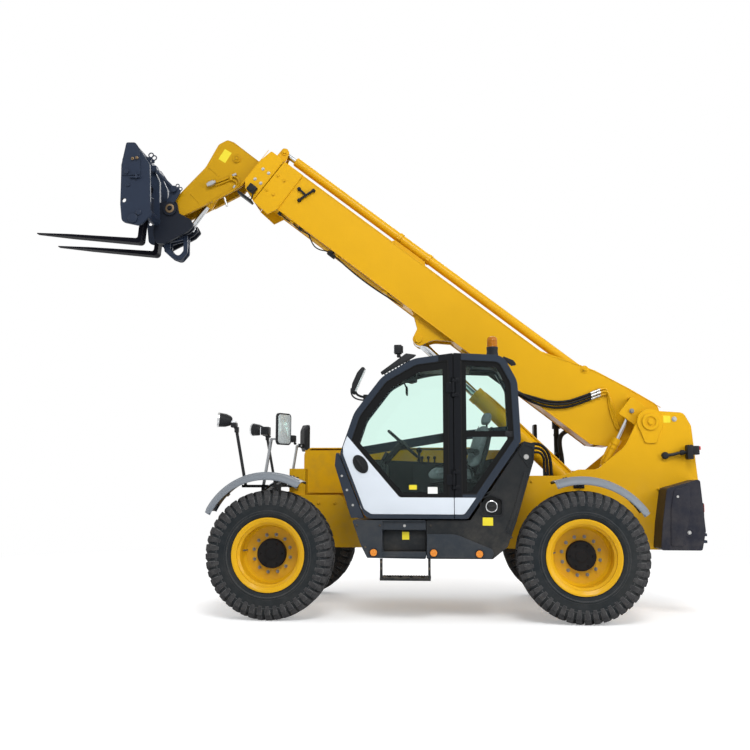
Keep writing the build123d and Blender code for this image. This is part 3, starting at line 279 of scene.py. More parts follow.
def dress(material, *names):
    """Gives a finish to nodes that keep the shape they have."""
    for name in names:
        mesh = nodes[name].data
        mesh.materials.clear()
        mesh.materials.append(material)


YELLOW = (0.67, 0.36, 0.006)
frame_yellow = sprayed("frame yellow", YELLOW, 0.36, dust=0.35)
dress(frame_yellow, "frame_side_plates", "frame_cross_members", "boom_pivot_pin", "rear_counterweight")


def rounded(points, steps=5):
    """An outline of (x, z, corner radius) rows, with each corner drawn as an arc."""
    outline = []
    count = len(points)
    for index, (x, z, radius) in enumerate(points):
        corner = Vector((x, z))
        before = Vector(points[index - 1][:2]) - corner
        after = Vector(points[(index + 1) % count][:2]) - corner
        half = before.angle(after) / 2
        reach = min(radius / math.tan(half), before.length * 0.49, after.length * 0.49) if radius else 0
        if reach < 1e-6:
            outline.append((x, z))
            continue
        start = corner + before.normalized() * reach
        end = corner + after.normalized() * reach
        for step in range(steps + 1):
            part = step / steps
            low = start.lerp(corner, part)
            high = corner.lerp(end, part)
            outline.append(tuple(low.lerp(high, part)))
    return outline


def rectangle(x_low, z_low, x_high, z_high, radius):
    """The outline of a plate with four equal corners."""
    corners = ((x_low, z_low), (x_high, z_low), (x_high, z_high), (x_low, z_high))
    return rounded([(x, z, radius) for x, z in corners])


def finished(name, shape, material, body="chassis", smooth=35):
    """Turns a bmesh into a piece of the machine that rides on one body."""
    bmesh.ops.remove_doubles(shape, verts=shape.verts, dist=1e-6)
    bmesh.ops.recalc_face_normals(shape, faces=shape.faces)
    mesh = bpy.data.meshes.new(name)
    shape.to_mesh(mesh)
    shape.free()
    mesh.transform(AXLES)
    for face in mesh.polygons:
        face.use_smooth = True
    mesh.materials.append(material)
    piece = in_scene(name, mesh)
    mesh.set_sharp_from_angle(angle=math.radians(smooth))
    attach(piece, body)
    return piece


def broken_edges(shape, size, angle=30):
    """Breaks every edge that turns more than a given angle."""
    sharp = [e for e in shape.edges if e.is_manifold and e.calc_face_angle(0) > math.radians(angle)]
    if size and sharp:
        bmesh.ops.bevel(
            shape, geom=sharp, offset=size, segments=2, profile=0.6, affect="EDGES", clamp_overlap=True,
        )


def add_plate(shape, outline, y_one, y_other, place=Matrix(), edge=0.003):
    """Adds a plate cut to a side-view outline, between two distances across the machine."""
    y_low, y_high = sorted((y_one, y_other))
    part = bmesh.new()
    low = [part.verts.new((x, y_low, z)) for x, z in outline]
    high = [part.verts.new((x, y_high, z)) for x, z in outline]
    part.faces.new(low)
    part.faces.new(list(reversed(high)))
    for index in range(len(outline)):
        after = (index + 1) % len(outline)
        part.faces.new((low[index], high[index], high[after], low[after]))
    bmesh.ops.recalc_face_normals(part, faces=part.faces)
    broken_edges(part, edge, 40)
    merge(shape, part, place)


def merge(shape, part, place=Matrix()):
    """Moves one bmesh into another."""
    bmesh.ops.transform(part, matrix=place, verts=part.verts)
    mesh = bpy.data.meshes.new("part")
    part.to_mesh(mesh)
    part.free()
    shape.from_mesh(mesh)
    bpy.data.meshes.remove(mesh)


def add_block(shape, corner, other, place=Matrix(), edge=0.003):
    """Adds a block with broken edges between two opposite corners."""
    low, high = [Vector([pick(pair) for pair in zip(corner, other)]) for pick in (min, max)]
    part = bmesh.new()
    size = high - low
    centre = (high + low) / 2
    bmesh.ops.create_cube(part, size=1, matrix=Matrix.Translation(centre) @ Matrix.Diagonal((*size, 1)))
    broken_edges(part, edge)
    merge(shape, part, place)


def add_slats(shape, count, pitch, low, high, place=Matrix(), edge=0.003):
    """Adds equal blocks in a row, each one pitch on from the one before."""
    for step in range(count):
        corners = [[value + step * shift for value, shift in zip(corner, pitch)] for corner in (low, high)]
        add_block(shape, *corners, place, edge)


def facing(start, direction):
    """A place whose Z axis points along a direction."""
    return Matrix.Translation(start) @ Vector(direction).to_track_quat("Z", "Y").to_matrix().to_4x4()


def add_turned(shape, start, direction, profile, around=32, place=Matrix(), hollow=False):
    """Adds a turned part: (along, radius) rows spun about a line from start.

    The ends are closed by discs, or a hollow ring's last row is joined to its first."""
    part = bmesh.new()
    rings = []
    for height, radius in profile:
        if radius < 1e-6:
            rings.append([part.verts.new((0, 0, height))])
            continue
        ring = []
        for step in range(around):
            angle = 2 * math.pi * step / around
            ring.append(part.verts.new((radius * math.cos(angle), radius * math.sin(angle), height)))
        rings.append(ring)
    for lower, upper in zip(rings, rings[1:] + (rings[:1] if hollow else [])):
        for step in range(around):
            after = (step + 1) % around
            corners = [lower[step % len(lower)], lower[after % len(lower)]]
            corners += [upper[after % len(upper)], upper[step % len(upper)]]
            unique = list(dict.fromkeys(corners))
            if len(unique) > 2:
                part.faces.new(unique)
    for ring in (rings[0], rings[-1]):
        if len(ring) > 1 and not hollow:
            part.faces.new(ring)
    bmesh.ops.recalc_face_normals(part, faces=part.faces)
    merge(shape, part, place @ facing(start, direction))


def add_rod(shape, start, direction, radius, length, around=32, place=Matrix()):
    """Adds a plain round rod."""
    add_turned(shape, start, direction, [(0, 0.0), (0, radius), (length, radius), (length, 0.0)], around, place)


def add_knobs(shape, spots, profile, around=32, place=Matrix(), sides=(1, -1), hollow=False):
    """Adds the same turned part at each spot, facing outward, on the left and the right."""
    for side in sides:
        for x, y, z in spots:
            add_turned(shape, (x, side * y, z), (0, side, 0), profile, around, place, hollow)


def as_built(thing):
    """A plain mesh of an object as its modifiers leave it."""
    return bpy.data.meshes.new_from_object(thing.evaluated_get(bpy.context.evaluated_depsgraph_get()))


def add_pipe(shape, points, radius, around=12, steps=6, place=Matrix()):
    """Adds a bent pipe or hose through points, with smooth bends."""
    curve = bpy.data.curves.new("pipe", "CURVE")
    curve.dimensions = "3D"
    curve.bevel_depth = radius
    curve.bevel_resolution = max(1, around // 4 - 1)
    curve.use_fill_caps = True
    curve.resolution_u = steps
    spline = curve.splines.new("NURBS")
    spline.points.add(len(points) - 1)
    for point, spot in zip(spline.points, points):
        point.co = (*spot, 1.0)
    spline.order_u = 3
    spline.use_endpoint_u = True
    holder = in_scene("pipe", curve)
    made = as_built(holder)
    part = bmesh.new()
    part.from_mesh(made)
    bmesh.ops.remove_doubles(part, verts=part.verts, dist=1e-6)
    bpy.data.objects.remove(holder)
    bpy.data.curves.remove(curve)
    bpy.data.meshes.remove(made)
    merge(shape, part, place)


class Grower:
    """A geometry node tree with inputs for a shape, a material and its sizes."""

    def __init__(self, name, kind, **sizes):
        self.tree = bpy.data.node_groups.new(name, "GeometryNodeTree")
        self.socket("Geometry", "Geometry")
        for label, value in sizes.items():
            self.socket(label.replace("_", " "), kind).default_value = value
        self.socket("Material", "Material")
        self.socket("Geometry", "Geometry", "OUTPUT")
        self.entry = self.tree.nodes.new("NodeGroupInput").outputs

    def socket(self, label, kind, way="INPUT"):
        return self.tree.interface.new_socket(label, in_out=way, socket_type="NodeSocket" + kind)

    def node(self, kind, settings=None, *values, **inputs):
        return add_node(self.tree, kind, settings, values, **inputs).outputs[0]

    def finish(self, repeated):
        """Turns the repeats into one plain mesh in the given material."""
        solid = self.node("GeometryNodeRealizeInstances", None, repeated)
        coated = self.node("GeometryNodeSetMaterial", Geometry=solid, Material=self.entry["Material"])
        add_node(self.tree, "NodeGroupOutput", None, (coated,))
        return self.tree


def bolt_tree():
    """Sets a washer and a hexagon head on each point, facing along the point's own direction."""
    grower = Grower(
        "bolt heads", "Float", Head_radius=0.5, Head_height=0.55, Washer_radius=0.72, Washer_height=0.12,
    )
    both = grower.tree.nodes.new("GeometryNodeJoinGeometry")
    for sides, part in ((6, "Head"), (16, "Washer")):
        radius, height = grower.entry[part + " radius"], grower.entry[part + " height"]
        disc = grower.node("GeometryNodeMeshCylinder", Vertices=sides, Radius=radius, Depth=height)
        half = grower.node("ShaderNodeMath", {"operation": "MULTIPLY"}, height, 0.5)
        offset = grower.node("ShaderNodeCombineXYZ", Z=half)
        lifted = grower.node("GeometryNodeTransform", Geometry=disc, Translation=offset)
        plug(grower.tree, lifted, both.inputs[0])
    aim = grower.node("GeometryNodeInputNamedAttribute", {"data_type": "FLOAT_VECTOR"}, Name="facing")
    size = grower.node("GeometryNodeInputNamedAttribute", {"data_type": "FLOAT"}, Name="size")
    align = grower.node("FunctionNodeAlignRotationToVector", {"axis": "Z"}, Vector=aim)
    return grower.finish(grower.node(
        "GeometryNodeInstanceOnPoints", Points=grower.entry["Geometry"], Instance=both.outputs[0],
        Rotation=align, Scale=size,
    ))


def grown(name, points, tree, material, body, **sizes):
    """Runs a node tree on a small mesh and keeps the result as a plain piece."""
    holder = in_scene(name, points)
    modifier = holder.modifiers.new("grow", "NODES")
    modifier.node_group = tree
    for item in tree.interface.items_tree:
        if item.in_out != "INPUT":
            continue
        if item.name == "Material":
            modifier[item.identifier] = material
        elif item.name in sizes:
            modifier[item.identifier] = sizes[item.name]
    result = as_built(holder)
    result.name = name
    result.transform(AXLES)
    holder.modifiers.remove(modifier)
    holder.data = result
    result.materials.clear()
    result.materials.append(material)
    result.set_sharp_from_angle(angle=math.radians(35))
    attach(holder, body)
    return holder


BOLT_HEADS = bolt_tree()


def side_rows(spots, y, width, sides=(1, -1)):
    """Bolt rows at (x, z) spots, facing outward, on the left and the right."""
    return [((x, side * y, z), (0, side, 0), width) for side in sides for x, z in spots]


def circle_spots(x, z, radius, count, start=0.0):
    """Evenly spaced (x, z) spots round a centre, from a start angle in degrees."""
    angles = [math.radians(360 / count * step + start) for step in range(count)]
    return [(x + radius * math.cos(angle), z + radius * math.sin(angle)) for angle in angles]


def bolts(name, rows, material, body="chassis"):
    """Bolts from rows of place, direction and width across the corners."""
    points = bpy.data.meshes.new(name)
    points.from_pydata([place for place, _, _ in rows], [], [])
    points.attributes.new("facing", "FLOAT_VECTOR", "POINT")
    points.attributes.new("size", "FLOAT", "POINT")
    for index, (_, direction, width) in enumerate(rows):
        points.attributes["facing"].data[index].vector = direction
        points.attributes["size"].data[index].value = width
    return grown(name, points, BOLT_HEADS, material, body)


def plain(name, colour, roughness, grain=None, **settings):
    """A simple finish. Its roughness is one number, or (base, spread, noise scale, detail), and
    its grain is (noise scale, detail, strength, distance)."""
    finish = Finish(name, colour, 0.5, **settings)
    if isinstance(roughness, tuple):
        base, spread, *noise = roughness
        roughness = base + finish.noise(*noise) * spread
    finish.set("Roughness", roughness)
    if grain:
        scale, detail, strength, distance = grain
        finish.bump(finish.noise(scale, detail), strength, distance)
    return finish.material


zinc = plain("zinc plate", (0.44, 0.44, 0.43), (0.24, 0.2, 60.0), Metallic=0.9)
FRAME_Y = 0.4305
frame_spots = side_rows([(-2.38, 1.255), (0.95, 1.1), (1.12, 1.1), (1.62, 0.9), (1.86, 0.9)], FRAME_Y, 0.024)
frame_spots += side_rows([(-1.1, 1.33), (-1.18, 0.8)], FRAME_Y, 0.022)
bolts("frame_bolts", frame_spots, frame_yellow)
bolts("frame_top_bolts", side_rows([(-2.566, 1.969)], FRAME_Y, 0.036), zinc)

# The tail lamps hang on short black arms, one on each side of the frame.
black_plastic = plain("black plastic", (0.018, 0.019, 0.021), 0.42, (900.0, 2.0, 0.12, 0.001))
red_lens = plain("red lens", (0.45, 0.02, 0.015), 0.12, Coat_Weight=1.0)
white_lens = plain("white lens", (0.8, 0.81, 0.82), 0.1, Coat_Weight=1.0)
tail_arms = bmesh.new()
tail_red = bmesh.new()
tail_white = bmesh.new()
add_knobs(tail_arms, [(-2.455, 0.43, 1.594)], [(0, 0.036), (0.035, 0.036), (0.045, 0.028), (0.05, 0.0)], 24)
for side in (-1, 1):
    arm = ((-2.455, 0.462, 1.594), (-2.52, 0.468, 1.6), (-2.6, 0.475, 1.622), (-2.672, 0.48, 1.629))
    add_pipe(tail_arms, [(x, side * y, z) for x, y, z in arm], 0.016)
    add_rod(tail_arms, (-2.6, side * 0.475, 1.622), (-1, 0, 0.08), 0.026, 0.04, 16)
    add_block(tail_arms, (-2.715, side * 0.445, 1.555), (-2.655, side * 0.545, 1.7), edge=0.008)
    add_block(tail_arms, (-2.775, side * 0.445, 1.6), (-2.712, side * 0.545, 1.69), edge=0.01)
    for lenses, low, high in ((tail_red, 1.648, 1.686), (tail_white, 1.606, 1.642)):
        add_block(lenses, (-2.789, side * 0.453, low), (-2.772, side * 0.537, high), edge=0.004)
finished("tail_lamp_arms", tail_arms, black_plastic)
finished("tail_lamp_red_lenses", tail_red, red_lens)
finished("tail_lamp_clear_lenses", tail_white, white_lens)

# Blank plates in the places where such machines carry their notices.
plate_yellow = plain("blank yellow plate", (0.74, 0.62, 0.04), 0.35)
plate_white = plain("blank white plate", (0.82, 0.83, 0.8), 0.35)


def notices(name, material, body, outlines, y_low, y_high, place=Matrix()):
    """Thin blank plates."""
    shape = bmesh.new()
    for outline in outlines:
        add_plate(shape, outline, y_low, y_high, place, edge=0)
    finished(name, shape, material, body)


notice = bmesh.new()
for side in (-1, 1):
    add_plate(notice, rectangle(-2.527, 1.932, -2.455, 2.005, 0.006), side * 0.4302, side * 0.4318, edge=0)
finished("frame_blank_plates", notice, plate_yellow)

# ---------------------------------------------------------------- rear counterweight and bumpers
# The counterweight is a cast block behind the axle. Moulded dark bumpers wrap its corners,
# each held by two bright screws in dished seats, with the tow jaw between them.


def moulded(name, colour, roughness=0.5, grain=1.0, dust=0.4, black_where=None):
    """Moulded plastic with a fine leather grain, greying low down and on its edges.

    A function may say where it is blacked out."""
    finish = Finish(name, colour, roughness)
    edge, soft_normal = edge_glow(finish, 0.01)
    low = 1 - finish.along("Z").above(0.1, 1.6)
    chalk = finish.noise(4.0, 6.0, 0.7).above(0.4, 0.8)
    tone = finish.blend(low * chalk * dust, colour, (0.24, 0.21, 0.17))
    tone = finish.blend((edge * 3).above(0.1, 0.9) * 0.5, tone, shade(colour, 2.2))
    if black_where:
        tone = finish.blend(black_where(finish), tone, (0.006, 0.007, 0.009))
    finish.set("Base Color", tone)
    finish.set("Roughness", roughness + finish.noise(3.0) * 0.16 - 0.08)
    finish.bump(finish.noise(700.0, 3.0), 0.1 * grain, 0.0015, soft_normal)
    return finish.material


BUMPER = (0.019, 0.02, 0.029)
bumper_dark = moulded("bumper moulding", BUMPER, 0.42)
dress(bumper_dark, "rear_bumpers")
attachment_navy = sprayed("attachment navy", (0.026, 0.034, 0.055), 0.38, coat=0.04)
dress(attachment_navy, "tow_hitch")
BUMPER_SPOTS = ((-2.483, 1.182), (-2.582, 0.834))
bolts("bumper_screws", side_rows(BUMPER_SPOTS, 0.747, 0.026), zinc)
dishes = bmesh.new()
dish = [(0, 0.045), (0.004, 0.045), (0.006, 0.04), (0.003, 0.03), (0.003, 0.0)]
add_knobs(dishes, [(x, 0.7435, z) for x, z in BUMPER_SPOTS], dish, 24)
finished("bumper_screw_dishes", dishes, bumper_dark)
# a raised panel on each bumper's outer face, with the broad upright groove beside it
panels = bmesh.new()
lamp_boxes = bmesh.new()
lamp_faces = bmesh.new()
panel = rounded([
    (-2.4, 0.7, 0.03), (-2.415, 1.05, 0.3), (-2.45, 1.25, 0.05), (-2.61, 1.3, 0.03), (-2.6, 1.05, 0.25),
    (-2.53, 0.7, 0.03),
])
for side in (-1, 1):
    add_plate(panels, panel, side * 0.744, side * 0.752, edge=0.005)
    add_block(lamp_boxes, (-2.758, side * 0.5, 0.92), (-2.716, side * 0.66, 1.12), edge=0.008)
    add_block(lamp_faces, (-2.764, side * 0.51, 1.03), (-2.754, side * 0.65, 1.11), edge=0.004)
finished("bumper_panels", panels, bumper_dark)
finished("rear_lamp_boxes", lamp_boxes, black_plastic)
finished("rear_lamp_lenses", lamp_faces, red_lens)
grille = bmesh.new()
add_slats(grille, 9, (0, 0, 0.05), (-2.745, -0.3, 0.86), (-2.69, 0.3, 0.88), edge=0.004)
finished("rear_grille_bars", grille, black_plastic)

# ---------------------------------------------------------------- axles and knuckles
# Cast steel axles with a bolted differential, steering rams behind and swinging
# knuckles at the ends, all brushed with black chassis paint.
chassis_black = sprayed("chassis black", (0.022, 0.023, 0.025), 0.5, dust=0.8, coat=0.05)
CORNERS = [("front_left", 1.5, 1), ("front_right", 1.5, -1), ("rear_left", -1.5, 1), ("rear_right", -1.5, -1)]
dress(chassis_black, "front_axle", "rear_axle", *["knuckle_" + name for name, _, _ in CORNERS])
chrome = plain("chrome rod", (0.56, 0.58, 0.6), (0.05, 0.1, 12.0, 5.0), Metallic=1.0)
AXLE_Z = 0.62
rams = bmesh.new()
ram_rods = bmesh.new()
covers = bmesh.new()
rows = []
for x in (1.5, -1.5):
    back = -1 if x > 0 else 1
    ram_x, ram_z, eye_x = x + back * 0.17, AXLE_Z + 0.02, x + back * 0.13
    add_rod(rams, (ram_x, -0.22, ram_z), (0, 1, 0), 0.042, 0.44, 24)
    add_knobs(ram_rods, [(ram_x, 0.21, ram_z)], [(0, 0.018), (0.3, 0.018)], 16)
    add_knobs(rams, [(ram_x, 0.51, ram_z)], [(0, 0.0), (0, 0.03), (0.05, 0.034), (0.08, 0.0)], 16)
    for y in (-0.15, 0.15):
        add_block(
            rams, (eye_x - 0.05, y - 0.02, AXLE_Z - 0.03), (eye_x + 0.05, y + 0.02, AXLE_Z + 0.07), edge=0.006,
        )
    dome = [(-0.03, 0.135), (0.0, 0.135), (0.012, 0.12), (0.03, 0.06), (0.036, 0.0)]
    add_turned(covers, (x - back * 0.145, 0, AXLE_Z), (-back, 0, 0), dome)
    rows += [((x - back * 0.143, y, z), (-back, 0, 0), 0.018) for y, z in circle_spots(0, AXLE_Z, 0.122, 10)]
finished("steering_rams", rams, chassis_black)
finished("steering_ram_rods", ram_rods, chrome)
finished("differential_covers", covers, chassis_black)
bolts("differential_bolts", rows, chassis_black)

# ---------------------------------------------------------------- tyres
# Tubeless block-tread tyres: a carcass turned to the rim's seat, long lugs that run from
# the crown over the shoulder, short shoulder blocks between them, and a raised rim guard.


def worn_rubber(
    name, colour, dark, scuffed, scuff_share, scuff_noise, worn, worn_share, radius, shine, gloss, grain,
    dusty=0.0,
):
    """Tyre rubber: scuffed in patches, dusty, and paler along its worn edges."""
    finish = Finish(name, colour, gloss[0], Specular_IOR_Level=shine)
    edge, soft_normal = edge_glow(finish, radius)
    scuff = finish.noise(scuff_noise[0], 8.0, 0.75).above(scuff_noise[1], 0.75)
    tone = finish.blend(scuff * scuff_share, dark, scuffed)
    if dusty:
        tone = finish.blend(finish.noise(2.2, 4.0).above(0.35, 0.75) * dusty, tone, (0.12, 0.105, 0.085))
    finish.set("Base Color", finish.blend((edge * 4).above(0.1, 0.9) * worn_share, tone, worn))
    finish.set("Roughness", gloss[0] + scuff * gloss[1])
    scale, detail, strength, distance = grain
    finish.bump(finish.noise(scale, detail), strength, distance, soft_normal)
    return finish.material


rubber = worn_rubber(
    "tyre rubber", (0.02, 0.023, 0.025), (0.017, 0.021, 0.024), (0.055, 0.057, 0.06), 0.4, (14.0, 0.45),
    (0.16, 0.16, 0.16), 0.55,
    0.01, 0.04, (0.66, 0.25), (260.0, 4.0, 0.25, 0.002), dusty=0.15)
lug_rubber = worn_rubber(
    "lug rubber", (0.05, 0.05, 0.052), (0.036, 0.036, 0.038), (0.105, 0.103, 0.1), 0.6, (22.0, 0.4),
    (0.2, 0.2, 0.2), 0.6,
    0.008, 0.06, (0.7, 0.2), (190.0, 5.0, 0.35, 0.003))

TYRE_RADIUS = 0.62
# offset from the wheel's middle and carcass radius
CARCASS = [
    (-0.156, 0.32), (-0.168, 0.352), (-0.176, 0.366), (-0.184, 0.374), (-0.19, 0.392), (-0.1955, 0.43),
    (-0.1975, 0.47), (-0.194, 0.51), (-0.186, 0.545), (-0.172, 0.57), (-0.15, 0.583), (-0.1, 0.589),
    (0.0, 0.592),
]
CARCASS = CARCASS + [(-offset, radius) for offset, radius in reversed(CARCASS[:-1])]
HALFWAY = len(CARCASS) // 2


def carcass_radius(offset):
    for (a, ra), (b, rb) in zip(CARCASS[HALFWAY:], CARCASS[HALFWAY + 1:]):
        if a <= offset <= b:
            return ra + (rb - ra) * (offset - a) / (b - a)
    return CARCASS[-1][1]


def tread_lug(path):
    """One lug along (offset, angle, half width, height) rows, drawn in at its top."""
    lug = bmesh.new()
    sections = []
    for offset, angle, half, height in path:
        base = carcass_radius(offset) - 0.008
        top = min(base + height, TYRE_RADIUS)
        corners = []
        for radius, reach in ((base, half * 1.12), (top - 0.004, half), (top, half * 0.88)):
            corners.append((radius, reach / radius))
        verts = []
        for radius, swing in [(radius, -swing) for radius, swing in corners] + corners[::-1]:
            turn_by = math.radians(angle) + swing
            verts.append(lug.verts.new((radius * math.cos(turn_by), offset, radius * math.sin(turn_by))))
        sections.append(verts)
    for before, after in zip(sections, sections[1:]):
        for index in range(6):
            other = (index + 1) % 6
            lug.faces.new((before[index], before[other], after[other], after[index]))
    lug.faces.new(sections[0])
    lug.faces.new(sections[-1])
    bmesh.ops.recalc_face_normals(lug, faces=lug.faces)
    return lug


def ring_tree():
    """Repeats a shape evenly round the Y axis."""
    grower = Grower("even ring", "Int", Count=24)
    count = grower.entry["Count"]
    line = grower.node("GeometryNodeMeshLine", Count=count, Offset=(0, 0, 0))
    index = grower.node("GeometryNodeInputIndex")
    share = grower.node("ShaderNodeMath", {"operation": "DIVIDE"}, index, count)
    angle = grower.node("ShaderNodeMath", {"operation": "MULTIPLY"}, share, 2 * math.pi)
    spin = grower.node("ShaderNodeCombineXYZ", Y=angle)
    return grower.finish(grower.node(
        "GeometryNodeInstanceOnPoints", Points=line, Instance=grower.entry["Geometry"], Rotation=spin,
    ))


EVEN_RING = ring_tree()
LUG_COUNT = 22
HALF_PITCH = Matrix.Rotation(math.pi / LUG_COUNT, 4, "Y")

# offset from the middle, angle in degrees, half width, height above the carcass
LONG_LUG = [
    (-0.012, -3.5, 0.02, 0.036), (0.03, -1.0, 0.024, 0.036), (0.08, 2.2, 0.026, 0.038),
    (0.125, 5.0, 0.028, 0.04), (0.152, 6.3, 0.03, 0.042), (0.172, 6.8, 0.03, 0.036), (0.186, 7.0, 0.028, 0.022),
    (0.1935, 7.2, 0.026, 0.01),
]
SHOULDER_BLOCK = [
    (0.062, 9.9, 0.018, 0.034), (0.1, 11.9, 0.022, 0.036), (0.13, 13.5, 0.025, 0.038),
    (0.152, 14.5, 0.026, 0.042), (0.172, 15.0, 0.026, 0.036), (0.186, 15.2, 0.024, 0.022),
    (0.1935, 15.4, 0.022, 0.01),
]


# along the axle and radius, for the raised guard beside the rim and the ring on the wall
WALL_RINGS = [
    [(0.188, 0.398), (0.199, 0.402), (0.2005, 0.41), (0.199, 0.418), (0.19, 0.424)],
    [(0.19, 0.5), (0.1975, 0.503), (0.1985, 0.507), (0.1965, 0.511), (0.188, 0.515)],
]


def wheel_shape(mesh, x, side, mirrored=False):
    """Moves a mesh made about the origin to a wheel, turned over for the far side."""
    flip = Matrix.Diagonal((1, -1 if mirrored else 1, 1, 1))
    mesh.transform(Matrix.Translation((x, side, AXLE_Z)) @ flip)
    if mirrored:
        mesh.flip_normals()


lug_ring = bmesh.new()
side_bar = rounded([
    (-0.017, 0.478, 0.006), (0.017, 0.478, 0.006), (0.025, 0.562, 0.004), (-0.025, 0.562, 0.004),
], 3)
for path in (LONG_LUG, SHOULDER_BLOCK):
    lug = tread_lug(path)
    turn = Matrix.Rotation(math.radians(90 - path[-1][1]), 4, "Y")
    add_plate(lug, side_bar, 0.184, 0.199, turn, edge=0.004)
    merge(lug_ring, lug.copy())
    bmesh.ops.transform(lug, matrix=HALF_PITCH @ Matrix.Diagonal((1, -1, 1, 1)), verts=lug.verts)
    bmesh.ops.recalc_face_normals(lug, faces=lug.faces)
    merge(lug_ring, lug)
for name, x, side in CORNERS:
    seed = bpy.data.meshes.new("tread_" + name)
    lug_ring.to_mesh(seed)
    tread = grown("tread_" + name, seed, EVEN_RING, lug_rubber, "wheel_" + name, Count=LUG_COUNT)
    wheel_shape(tread.data, x, side, side < 0)
    body = bmesh.new()
    add_turned(body, (0, 0, 0), (0, 1, 0), CARCASS, 120, hollow=True)
    for ring in WALL_RINGS:
        add_knobs(body, [(0, 0, 0)], ring, 120, hollow=True)
    tyre = finished("tyre_" + name + "_carcass", body, rubber, "wheel_" + name, 50)
    wheel_shape(tyre.data, x, side)
    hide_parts("tyre_" + name)
lug_ring.free()

# ---------------------------------------------------------------- rims
# Pressed and rolled steel rims, sprayed a brighter yellow. A dark planet hub stands in
# the middle, inside a ring of studs with their nuts, and a valve pokes through the well.
RIM_YELLOW = (0.66, 0.36, 0.008)
HUB_RADIUS = 0.146
STUD_CIRCLE = 0.185
# along and radius, for a wheel stud, the valve and the plug in the hub's end
STUD = [(0, 0.009), (0.03, 0.009), (0.033, 0.006), (0.033, 0.0)]
VALVE = [(0, 0.006), (0.05, 0.006), (0.052, 0.009), (0.075, 0.009), (0.078, 0.0)]
PLUG = [(0, 0.14), (0.004, 0.138), (0.008, 0.118), (0.004, 0.1), (0.008, 0.06), (0.012, 0.056), (0.014, 0.0)]
dull_steel = plain("dull steel", (0.22, 0.22, 0.21), (0.38, 0.2, 40.0), Metallic=0.7)
hub_black = sprayed("hub black", (0.006, 0.006, 0.007), 0.42, dust=0.04, coat=0.0)
for name, x, side in CORNERS:
    finish = Finish("rim yellow " + name, RIM_YELLOW, 0.3, Coat_Weight=0.12, Coat_Roughness=0.15)
    edge, soft_normal = edge_glow(finish, 0.006)
    from_x = finish.along("X") - (x + MIDDLE)
    from_z = finish.along("Z") - AXLE_Z
    radius = (from_x * from_x + from_z * from_z) ** 0.5
    grime = finish.noise(11.0, 7.0, 0.7).above(0.45, 0.8)
    tone = finish.blend(finish.noise(2.0).above(0.3, 0.7), shade(RIM_YELLOW, 0.93), shade(RIM_YELLOW, 1.04))
    tone = finish.blend(grime * (1 - radius.above(0.15, 0.31)) * 0.45, tone, (0.3, 0.2, 0.08))
    hub = 1 - radius.above(HUB_RADIUS - 0.001, HUB_RADIUS + 0.001)
    tone = finish.blend(hub, tone, (0.012, 0.013, 0.013))
    finish.set("Base Color", tone)
    finish.set("Roughness", 0.28 + grime * 0.2 + hub * 0.2)
    finish.bump(finish.noise(420.0, 2.0), 0.04, 0.0015, soft_normal)
    dress(finish.material, "rim_" + name)
    wheel = "wheel_" + name
    stud_spots = circle_spots(x, AXLE_Z, STUD_CIRCLE, 12, 12)
    bolts("wheel_nuts_" + name, side_rows(stud_spots, 0.9505, 0.024, (side,)), dull_steel, wheel)
    studs = bmesh.new()
    add_knobs(studs, [(x, 0.954, z) for x, z in stud_spots], STUD, 12, sides=(side,))
    add_turned(studs, (x + 0.245, side * 0.964, AXLE_Z + 0.03), (0.35, side, 0), VALVE, 12)
    finished("wheel_studs_" + name, studs, dull_steel, wheel)
    hub_face = bmesh.new()
    add_turned(hub_face, (x, side * 1.0015, AXLE_Z), (0, side, 0), PLUG, 48)
    finished("hub_face_" + name, hub_face, hub_black, wheel)
    screw_spots = circle_spots(x, AXLE_Z, 0.109, 6)
    bolts("hub_screws_" + name, side_rows(screw_spots, 1.008, 0.016, (side,)), hub_black, wheel)

# ---------------------------------------------------------------- fenders
# Rotomoulded grey fenders, crowned across and rolled down at the outer edge. Each sits on
# a dark steel band, which two short arms clamp to the main frame.
fender_grey = moulded("fender grey", (0.19, 0.21, 0.235), 0.34, dust=0.15)


def arc_through(start, crown, end):
    """Centre, radius and end angles of the arc through three (x, z) places."""
    (ax, az), (bx, bz), (cx, cz) = start, crown, end
    cross = 2 * (ax * (bz - cz) + bx * (cz - az) + cx * (az - bz))
    a, b, c = ax * ax + az * az, bx * bx + bz * bz, cx * cx + cz * cz
    centre = (
        (a * (bz - cz) + b * (cz - az) + c * (az - bz)) / cross,
        (a * (cx - bx) + b * (ax - cx) + c * (bx - ax)) / cross,
    )
    first, last = [math.atan2(z - centre[1], x - centre[0]) for x, z in (start, end)]
    return centre, math.dist(start, centre), first, last


def add_band(shape, arc, section, from_share=0.0, to_share=1.0, steps=40):
    """Adds a closed section of (y, rise) rows, carried along an arc seen from the side."""
    centre, radius, first, last = arc
    part = bmesh.new()
    rings = []
    for step in range(steps + 1):
        angle = first + (last - first) * (from_share + (to_share - from_share) * step / steps)
        ring = []
        for y, rise in section:
            reach = radius + rise
            ring.append(part.verts.new((
                centre[0] + reach * math.cos(angle), y, centre[1] + reach * math.sin(angle),
            )))
        rings.append(ring)
    count = len(section)
    for lower, upper in zip(rings, rings[1:]):
        for index in range(count):
            after = (index + 1) % count
            part.faces.new((lower[index], lower[after], upper[after], upper[index]))
    part.faces.new(rings[0])
    part.faces.new(rings[-1])
    bmesh.ops.recalc_face_normals(part, faces=part.faces)
    merge(shape, part)


